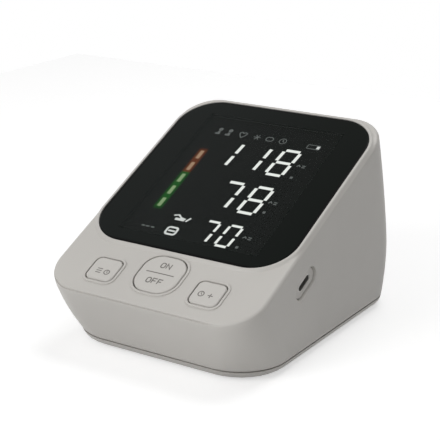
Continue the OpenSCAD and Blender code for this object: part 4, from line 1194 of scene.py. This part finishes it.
# %% Wrap a material
class Finish(Nodes):
    """A material: a Principled shader and what feeds it."""

    def __init__(self, name, **constants):
        self.material = bpy.data.materials.new(name)
        self.material.use_nodes = True
        super().__init__(self.material.node_tree)
        self.shader = self.tree.nodes["Principled BSDF"]
        for key, value in constants.items():
            self.shader.inputs[key.replace("_", " ")].default_value = value

    def feed(self, name, signal):
        self.tree.links.new(signal.socket, self.shader.inputs[name])
        return self

    def relief(self, height, distance):
        """Raises the surface by a height from 0 to 1, times a distance in mm."""
        return self.feed("Normal", self.node("ShaderNodeBump", None, {
            "Height": height, "Distance": distance * MM, "Strength": 1.0}))


print("ways to shape a finish:", [name for name in vars(Finish) if name[0] != "_"])

# %% [markdown]
# ## Tones
# Colours are written as they are seen, from 0 to 255, because that is how they
# were judged. Shaders need light values, so each share is made linear.

# %% Turn tones into light and dress objects
def tone(*rgb):
    """A colour as it is seen, 0 to 255, as the light values that shaders use."""
    share = [c / 255 for c in rgb]
    return tuple(c / 12.92 if c <= 0.04045 else ((c + 0.055) / 1.055) ** 2.4
                 for c in share) + (1.0,)


def scaled(seen_tone, share):
    """A lighter or darker tone."""
    return tone(*[min(c * share, 255) for c in seen_tone])


def dress(finish, *objects):
    """Gives pieces or CAD nodes their material."""
    for obj in objects:
        obj.data.materials.clear()
        obj.data.materials.append(finish.material)


print("white as light:", tone(255, 255, 255))

# %% [markdown]
# ## Satin moulded plastic
# The shells come from a tool with a spark-eroded texture: tiny pits, about a
# fifth of a millimetre across, that make the plastic satin. Two noises at
# different scales give the pits, a third one varies the sheen, and a very
# broad one moves the colour by a percent or two, as moulded resin does.

# %% Make the plastics
def moulded(name, seen_tone, rough=0.46, grain=0.012, pits=4200.0, **constants):
    finish = Finish(name, **constants)
    broad = finish.noise(28.0, 2.0)
    pit = finish.noise(pits, 2.0, 0.6)
    cell = finish.node("ShaderNodeTexVoronoi", {"feature": "F1"},
                       {"Vector": finish.place(), "Scale": pits * 0.8}, out="Distance")
    finish.feed("Base Color", finish.blend(broad, scaled(seen_tone, 0.965),
                                           scaled(seen_tone, 1.02)))
    finish.feed("Roughness", rough + 0.08 * (finish.noise(340.0) - 0.5) + 0.05 * (pit - 0.5))
    finish.relief(pit * 0.6 + cell * 0.4, grain)
    return finish


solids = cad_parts
dress(moulded("housing plastic", (196, 193, 188)), housing)
dress(moulded("key plastic", (200, 197, 192), 0.42, 0.006), *key_caps.values())
dress(moulded("base plastic", (188, 185, 180)), solids["base_cover"], solids["battery_door"])
dress(moulded("grey ink", (112, 109, 105), 0.6, 0.004), *key_prints)
dress(moulded("grey socket plastic", (150, 149, 147), 0.42, 0.008),
      solids["air_socket"], solids["pump_strap"])
dress(moulded("black moulding", (26, 26, 28), 0.5, 0.008), solids["air_socket_nut"],
      solids["pump_head"], solids["usb_tongue"])
dress(moulded("white nylon", (226, 222, 212), 0.4, 0.006), solids["board_plugs"],
      solids["pump_cap"], solids["hose_joint"], solids["pressure_sensor"])
print("materials so far:", len(bpy.data.materials))

# %% [markdown]
# ## Plated and drawn metal
# The socket's shell, the springs and contacts, the screws, the valve and the
# motor can are plated steel. Rolling and drawing leave fine lines along one
# direction, so a noise is stretched about eightyfold along it and moves both
# the sheen and the tone a little.

# %% Make the metals
STRETCHED = 0.012


def plated(name, seen_tone, along, rough=0.28, lines=2600.0):
    finish = Finish(name, Metallic=1.0)
    squeeze = [lines * (STRETCHED if i == along else 1.0) for i in range(3)]
    stretched = finish.node("ShaderNodeVectorMath", {"operation": "MULTIPLY"},
                            {0: finish.place(), 1: squeeze})
    line = finish.noise(1.0, 3.0, 0.6, stretched)
    stain = finish.noise(90.0, 3.0)
    finish.feed("Base Color", finish.blend(stain * 0.6 + line * 0.4,
                                           scaled(seen_tone, 0.86), tone(*seen_tone)))
    finish.feed("Roughness", rough + 0.14 * line + 0.06 * stain)
    return finish.relief(line, 0.004)


dress(plated("nickel plating", (206, 205, 200), 1), solids["usb_shell"],
      solids["battery_plates"], solids["battery_springs"])
dress(plated("zinc plating", (198, 200, 204), 2, 0.34), solids["housing_screws"],
      solids["board_screws"], solids["strap_screws"])
dress(plated("drawn can", (188, 190, 194), 0, 0.3), solids["pump_motor"], solids["exhaust_valve"])
print("materials so far:", len(bpy.data.materials))

# %% [markdown]
# ## The speaker
# The speaker's steel basket carries a dark magnet in its middle, so the tone
# changes with the distance from its axis, and fine turned rings catch light.

# %% Make the speaker
speaker_low, speaker_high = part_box("speaker")
speaker_middle = tuple((a + b) / 2 for a, b in zip(speaker_low, speaker_high))
speaker_finish = Finish("speaker metal", Metallic=1.0)
moved = speaker_finish.node("ShaderNodeVectorMath", {"operation": "SUBTRACT"},
                            {0: speaker_finish.place(), 1: speaker_middle})
speaker_x, speaker_y = (speaker_finish.axis(moved, d) / MM for d in ((1, 0, 0), (0, 1, 0)))
from_axis = (speaker_x * speaker_x + speaker_y * speaker_y).root()
turned = speaker_finish.noise(1.0, 2.0, 0.5, speaker_finish.node(
    "ShaderNodeCombineXYZ", None, {"X": from_axis * 3.0, "Y": 0.0, "Z": 0.0}))
MAGNET_EDGE = (7.4, 7.8)
speaker_finish.feed("Base Color", speaker_finish.blend(
    from_axis.step(*MAGNET_EDGE), tone(52, 52, 56), tone(190, 190, 192)))
speaker_finish.feed("Roughness", 0.3 + 0.2 * turned)
dress(speaker_finish, solids["speaker"])
print("middle of the speaker:", [round(v / MM, 1) for v in speaker_middle])

# %% [markdown]
# ## The circuit board and its parts
# A green solder mask lies over copper lines. Two sets of fine parallel lines,
# each let through by the broad patches of one noise, look like tracks that
# change direction, and the mask is a little thicker over them. The chips are
# black epoxy with a grainy top.

# %% Make the board and the chips
def lines_across(signal, pitch, width):
    """1 on parallel lines, a pitch apart."""
    share = signal.math("PINGPONG", signal, pitch / 2)
    return share.step(width, width * 0.6)


board_finish = Finish("solder mask", Coat_Weight=0.4, Coat_Roughness=0.2)
board_x = board_finish.axis(board_finish.place(), (1, 0, 0)) / MM
board_s = board_finish.axis(board_finish.place(), (0.0, math.cos(SLOPE), math.sin(SLOPE))) / MM
patch = board_finish.noise(110.0, 1.0)
TRACK_PITCH, TRACK_W = 1.3, 0.2
tracks = (lines_across(board_x, TRACK_PITCH, TRACK_W) * patch.step(0.5, 0.52)).most(
    lines_across(board_s, TRACK_PITCH, TRACK_W) * patch.step(0.5, 0.48))
board_finish.feed("Base Color", board_finish.blend(tracks, tone(18, 84, 50), tone(34, 122, 74)))
board_finish.feed("Roughness", 0.35 + 0.1 * board_finish.noise(500.0))
board_finish.relief(tracks, 0.03)
dress(board_finish, solids["main_board"])
dress(moulded("chip epoxy", (34, 34, 37), 0.55, 0.012, 7000.0), solids["board_parts"],
      solids["key_switches"])
print("materials so far:", len(bpy.data.materials))

# %% [markdown]
# ## The cells
# Each cell has a printed foil jacket on a metal can: bare metal at both ends, a
# blue body and a pale ring at one third. The bands follow the cell's length.

# %% Make the cell jackets
cells_low, cells_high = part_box("battery_cells")
cell_finish = Finish("cell jacket", Coat_Weight=0.3, Coat_Roughness=0.1)
along_cell = (cell_finish.axis(cell_finish.place(), (0, 1, 0)) - cells_low[1]) \
    / (cells_high[1] - cells_low[1])
jacket = (along_cell - 0.5).size().step(0.478, 0.472)
pale_ring = (along_cell - 0.34).size().step(0.03, 0.026)
scuff = cell_finish.noise(420.0, 4.0)
printed = cell_finish.blend(pale_ring, tone(38, 78, 132), tone(196, 198, 204))
cell_finish.feed("Base Color", cell_finish.blend(jacket, tone(190, 190, 188), printed))
cell_finish.feed("Metallic", 1 - 0.75 * jacket)
cell_finish.feed("Roughness", 0.22 + 0.2 * scuff)
dress(cell_finish, solids["battery_cells"])
print("length of a cell and its end:", round((cells_high[1] - cells_low[1]) / MM, 1))

# %% [markdown]
# ## Silicone, rubber and lead insulation
# The air hoses are milky silicone that lets a little light in. The feet and the
# pump's sleeves are darker, slightly dusty rubber, the lens's tape is thin black
# foam, and the leads are smooth coloured insulation. They all have a fine
# powdery noise, more or less strong.

# %% Make the soft materials
def rubbery(name, seen_tone, rough, dust, **constants):
    finish = Finish(name, **constants)
    powder = finish.noise(900.0, 4.0, 0.7)
    finish.feed("Base Color", finish.blend(powder, tone(*seen_tone),
                                           scaled(seen_tone, 1 + dust)))
    finish.feed("Roughness", rough + 0.16 * (powder - 0.5))
    return finish.relief(finish.noise(2400.0), 0.01)


dress(rubbery("silicone hose", (198, 201, 197), 0.42, 0.05, Subsurface_Weight=0.25,
              Subsurface_Scale=0.002), *(solids[n] for n in solids if n.startswith("hose_to")))
dress(rubbery("foot rubber", (58, 58, 60), 0.72, 0.22), solids["rubber_feet"],
      solids["pump_sleeves"])
dress(rubbery("adhesive foam", (24, 24, 25), 0.85, 0.3), solids["lens_tape"])
dress(rubbery("red insulation", (150, 30, 24), 0.4, 0.08), solids["battery_leads"],
      solids["motor_leads"])
dress(rubbery("black insulation", (28, 28, 29), 0.4, 0.15), solids["speaker_leads"])
print("materials so far:", len(bpy.data.materials))

# %% [markdown]
# ## The smoked lens
# The lens has a black printed border and is smoked, see-through acrylic over the
# display. Only its front face keeps the smoke, and its colour there is scaled
# up by as much as the alpha takes away, so that the window and the border look
# alike and only what is lit behind it shows. The front's window lies a little
# lower than the back's, because the display is looked at from below its normal.
# Across the whole lens the colour is painted lighter on the left and darker
# towards the right, as painted shade.

# %% Make the lens material
SLOPE_X = (1.0, 0.0, 0.0)
SLOPE_S = (0.0, math.cos(SLOPE), math.sin(SLOPE))
SLOPE_N = (0.0, -math.sin(SLOPE), math.cos(SLOPE))
SLOPE_ORIGIN = Vector((0.0, SLOPE_Y, EDGE_Z)) * MM
# The second number is the share of reflection that is painted into the window's colour.
SMOKE, PAINTED_GLOSS = 0.6, 0.011
WINDOW_X, WINDOW_S, WINDOW_SHIFT = (32.9, 32.3), (38.2, 37.7), 1.0
LINE_X, LINE_S = 44.9, 44.7


def slope_place(finish):
    """The x, s and n of a surface point on the sloped face, in mm."""
    moved = finish.node("ShaderNodeVectorMath", {"operation": "SUBTRACT"},
                        {0: finish.place(), 1: SLOPE_ORIGIN})
    return [finish.axis(moved, direction) / MM for direction in (SLOPE_X, SLOPE_S, SLOPE_N)]


def thinned(colour):
    """A colour that looks the same where only the smoke's share of it counts.
    The gloss is thinned too, so its missing share is added to the colour as a painted reflection."""
    return tuple((c + PAINTED_GLOSS * (1 - SMOKE)) / SMOKE for c in colour[:3]) + (1.0,)


lens_finish = Finish("smoked acrylic", IOR=1.49, Specular_IOR_Level=0.06)
lens_x, lens_s, lens_n = slope_place(lens_finish)
on_front = lens_n.step(-0.5, 0.2)
over_display = lens_x.size().step(*WINDOW_X) \
    * (lens_s + WINDOW_SHIFT * on_front - LENS_MIDDLE).size().step(*WINDOW_S)
lens_finish.feed("Alpha", 1 - over_display * (1 - SMOKE * on_front))
# Painted shade: the lens's colour is painted lighter on the left and darker towards the right.
painted_shade_across_lens = (lens_x + 0.35 * (lens_s - LENS_MIDDLE)).step(-30.0, 52.0)
# The lit and the shaded tone of the smoke, for the painted shade across the lens.
painted_lit_smoke, painted_shaded_smoke = tone(15, 20, 18), tone(2, 8, 4)
border = lens_finish.blend(painted_shade_across_lens, painted_lit_smoke, painted_shaded_smoke)
window = lens_finish.blend(painted_shade_across_lens, thinned(painted_lit_smoke), thinned(painted_shaded_smoke))
edge_line = (lens_x.size() - LINE_X).most(
    (lens_s - LENS_MIDDLE).size() - LINE_S).step(-0.6, 0.3)
smoked = lens_finish.blend(over_display, border, window)
lens_finish.feed("Base Color", lens_finish.blend(edge_line, smoked, tone(3, 4, 3)))
lens_finish.feed("Roughness", 0.05 + 0.05 * lens_finish.noise(190.0, 4.0))
dress(lens_finish, lens)
print("the smoke holds back", round(100 * SMOKE), "% of the light")

# %% [markdown]
# ## The display
# The module is a matt black block of light wells, each closed by a window. Some
# of the light of the level bar spreads in the block around it.

# %% Make the module and its light
BAR_X, BAR_FIRST, BAR_PITCH, BAR_STEPS = -24.4, 56.3, 7.8, 5
module_finish = Finish("module black", Specular_IOR_Level=0.1, Roughness=0.8,
                       Emission_Strength=1.0)
module_x, module_s, _ = slope_place(module_finish)
bar_middle = BAR_FIRST + BAR_PITCH * (BAR_STEPS - 1) / 2
near_bar = (module_x - BAR_X).size().step(2.7, 1.1) \
    * (module_s - bar_middle).size().step(20.5, 18.0)
is_amber = module_s.step(75.2, 76.6)
spill = module_finish.blend(is_amber, (0.004, 0.17, 0.008, 1.0), (0.24, 0.05, 0.008, 1.0))
module_finish.feed("Emission Color", module_finish.blend(
    near_bar, (0.0, 0.0, 0.0, 1.0), spill))
module_grain = module_finish.noise(2200.0)
module_finish.feed("Base Color", module_finish.blend(module_grain, tone(9, 10, 10),
                                                     tone(11, 12, 12)))
module_finish.relief(module_grain, 0.0015)
dress(module_finish, solids["display_module"])
print("the level bar runs from", BAR_FIRST, "to", BAR_FIRST + BAR_PITCH * (BAR_STEPS - 1))

# %% [markdown]
# A lit window glows nearly evenly, with patches that are a few percent dimmer,
# as light pipes have. The figures are the brightest, and the faint signs are
# grey.

# %% Light the windows
def glowing(name, seen_tone, strength):
    """A lit window."""
    finish = Finish(name, Emission_Strength=strength, Roughness=0.35)
    uneven = finish.noise(520.0, 2.0)
    finish.feed("Emission Color", finish.blend(uneven, scaled(seen_tone, 0.93),
                                               tone(*seen_tone)))
    finish.feed("Base Color", finish.blend(uneven, tone(30, 30, 30), tone(44, 44, 44)))
    return finish


dress(glowing("lit white", (246, 250, 245), 2.3), lit_digits, solids["lit_figures"])
dress(glowing("lit sign", (232, 236, 233), 2.0), lit_signs)
dress(glowing("faint sign", (150, 156, 154), 0.9), faint_signs)
dress(moulded("unlit window", (10, 11, 11), 0.8, 0.001, Specular_IOR_Level=0.1),
      solids["unlit_figures"])
dress(glowing("lit green", (150, 178, 128), 1.75), solids["level_bar_green"])
dress(glowing("lit amber", (182, 150, 118), 1.75), solids["level_bar_amber"])
bare = [name for name, obj in solids.items() if not obj.data.materials]
print("materials:", len(bpy.data.materials), "and solids without one:", bare)

# %% [markdown]
# ## The floor
# A pale floor carries the soft shadow. The camera, mirrors and clear pieces see
# it lifted to white where it is fully lit, so that only the shadow shows.

# %% Set up the floor
FLOOR_SIZE, FLOOR_LIFT = 0.42, 0.52
floor_mesh = bmesh.new()
bmesh.ops.create_grid(floor_mesh, x_segments=1, y_segments=1, size=FLOOR_SIZE)
floor_data = bpy.data.meshes.new("floor")
floor_mesh.to_mesh(floor_data)
floor_mesh.free()
floor = bpy.data.objects.new("floor", floor_data)
bpy.context.scene.collection.objects.link(floor)


def seen_rays(nodes):
    """1 for what the camera, a mirror or a clear piece shows, else 0."""
    paths = [nodes.node("ShaderNodeLightPath", out=out)
             for out in ("Is Camera Ray", "Is Glossy Ray", "Is Transmission Ray")]
    return paths[0].most(paths[1]).most(paths[2])


floor_finish = Finish("floor", Base_Color=tone(220, 220, 220), Roughness=1.0,
                      Specular_IOR_Level=0.0)
lift = floor_finish.node("ShaderNodeEmission", None, {
    "Color": (1.0, 1.0, 1.0, 1.0), "Strength": seen_rays(floor_finish) * FLOOR_LIFT})
lifted = floor_finish.node("ShaderNodeAddShader", None,
                           {0: Signal(floor_finish, floor_finish.shader.outputs[0]), 1: lift})
surface = floor_finish.tree.nodes["Material Output"].inputs["Surface"]
floor_finish.tree.links.new(lifted.socket, surface)
dress(floor_finish, floor)
print("floor:", 2 * FLOOR_SIZE, "m wide")

# %% [markdown]
# ## The world
# The world is a soft light on the object, dimmer from the right at the back, as
# beside a dark studio wall, and plain white where the camera, a mirror or a
# clear piece sees it.

# %% Set up the world
AMBIENT = 0.36
DARK_SIDE = (0.5, 0.87, 0.0)
world = bpy.data.worlds.new("studio")
bpy.context.scene.world = world
world.use_nodes = True
sky = Nodes(world.node_tree)
towards_dark = sky.axis(sky.node("ShaderNodeTexCoord", out="Generated"), DARK_SIDE)
shade = sky.node("ShaderNodeMapRange", None, {
    "Value": towards_dark, "From Min": -0.5, "From Max": 0.7,
    "To Min": AMBIENT * 1.25, "To Max": AMBIENT * 0.3})
level = sky.node("ShaderNodeMapRange", None, {
    "Value": seen_rays(sky), "To Min": shade, "To Max": 1.0})
background = sky.tree.nodes["Background"]
background.inputs["Color"].default_value = (1.0, 1.0, 1.0, 1.0)
sky.tree.links.new(level.socket, background.inputs["Strength"])
print("world light:", round(AMBIENT * 1.25, 2), "to", round(AMBIENT * 0.3, 2))

# %% [markdown]
# ## The lamps
# Three soft lamps light the object at a plain level: a large one in front on
# the left, a large one above and behind, and a small weak one near the right
# side, which lifts the edge of the recess.

# %% Set up the lamps
LAMPS = {
    "front_left": dict(at=(-0.4, -1.05, 0.6), size=0.7, power=5.4),
    "above": dict(at=(0.15, 0.4, 1.05), size=0.7, power=4.5),
    "near_right": dict(at=(0.17, -0.26, 0.1), size=0.12, power=0.06),
}
AIM = Vector((0, 0, 0.04))
for name, lamp in LAMPS.items():
    data = bpy.data.lights.new(name, "AREA")
    data.shape, data.size, data.energy = "DISK", lamp["size"], lamp["power"]
    obj = bpy.data.objects.new(name, data)
    obj.location = lamp["at"]
    obj.rotation_euler = (AIM - obj.location).to_track_quat("-Z", "Y").to_euler()
    bpy.context.scene.collection.objects.link(obj)
print("lamps:", list(LAMPS))

# %% [markdown]
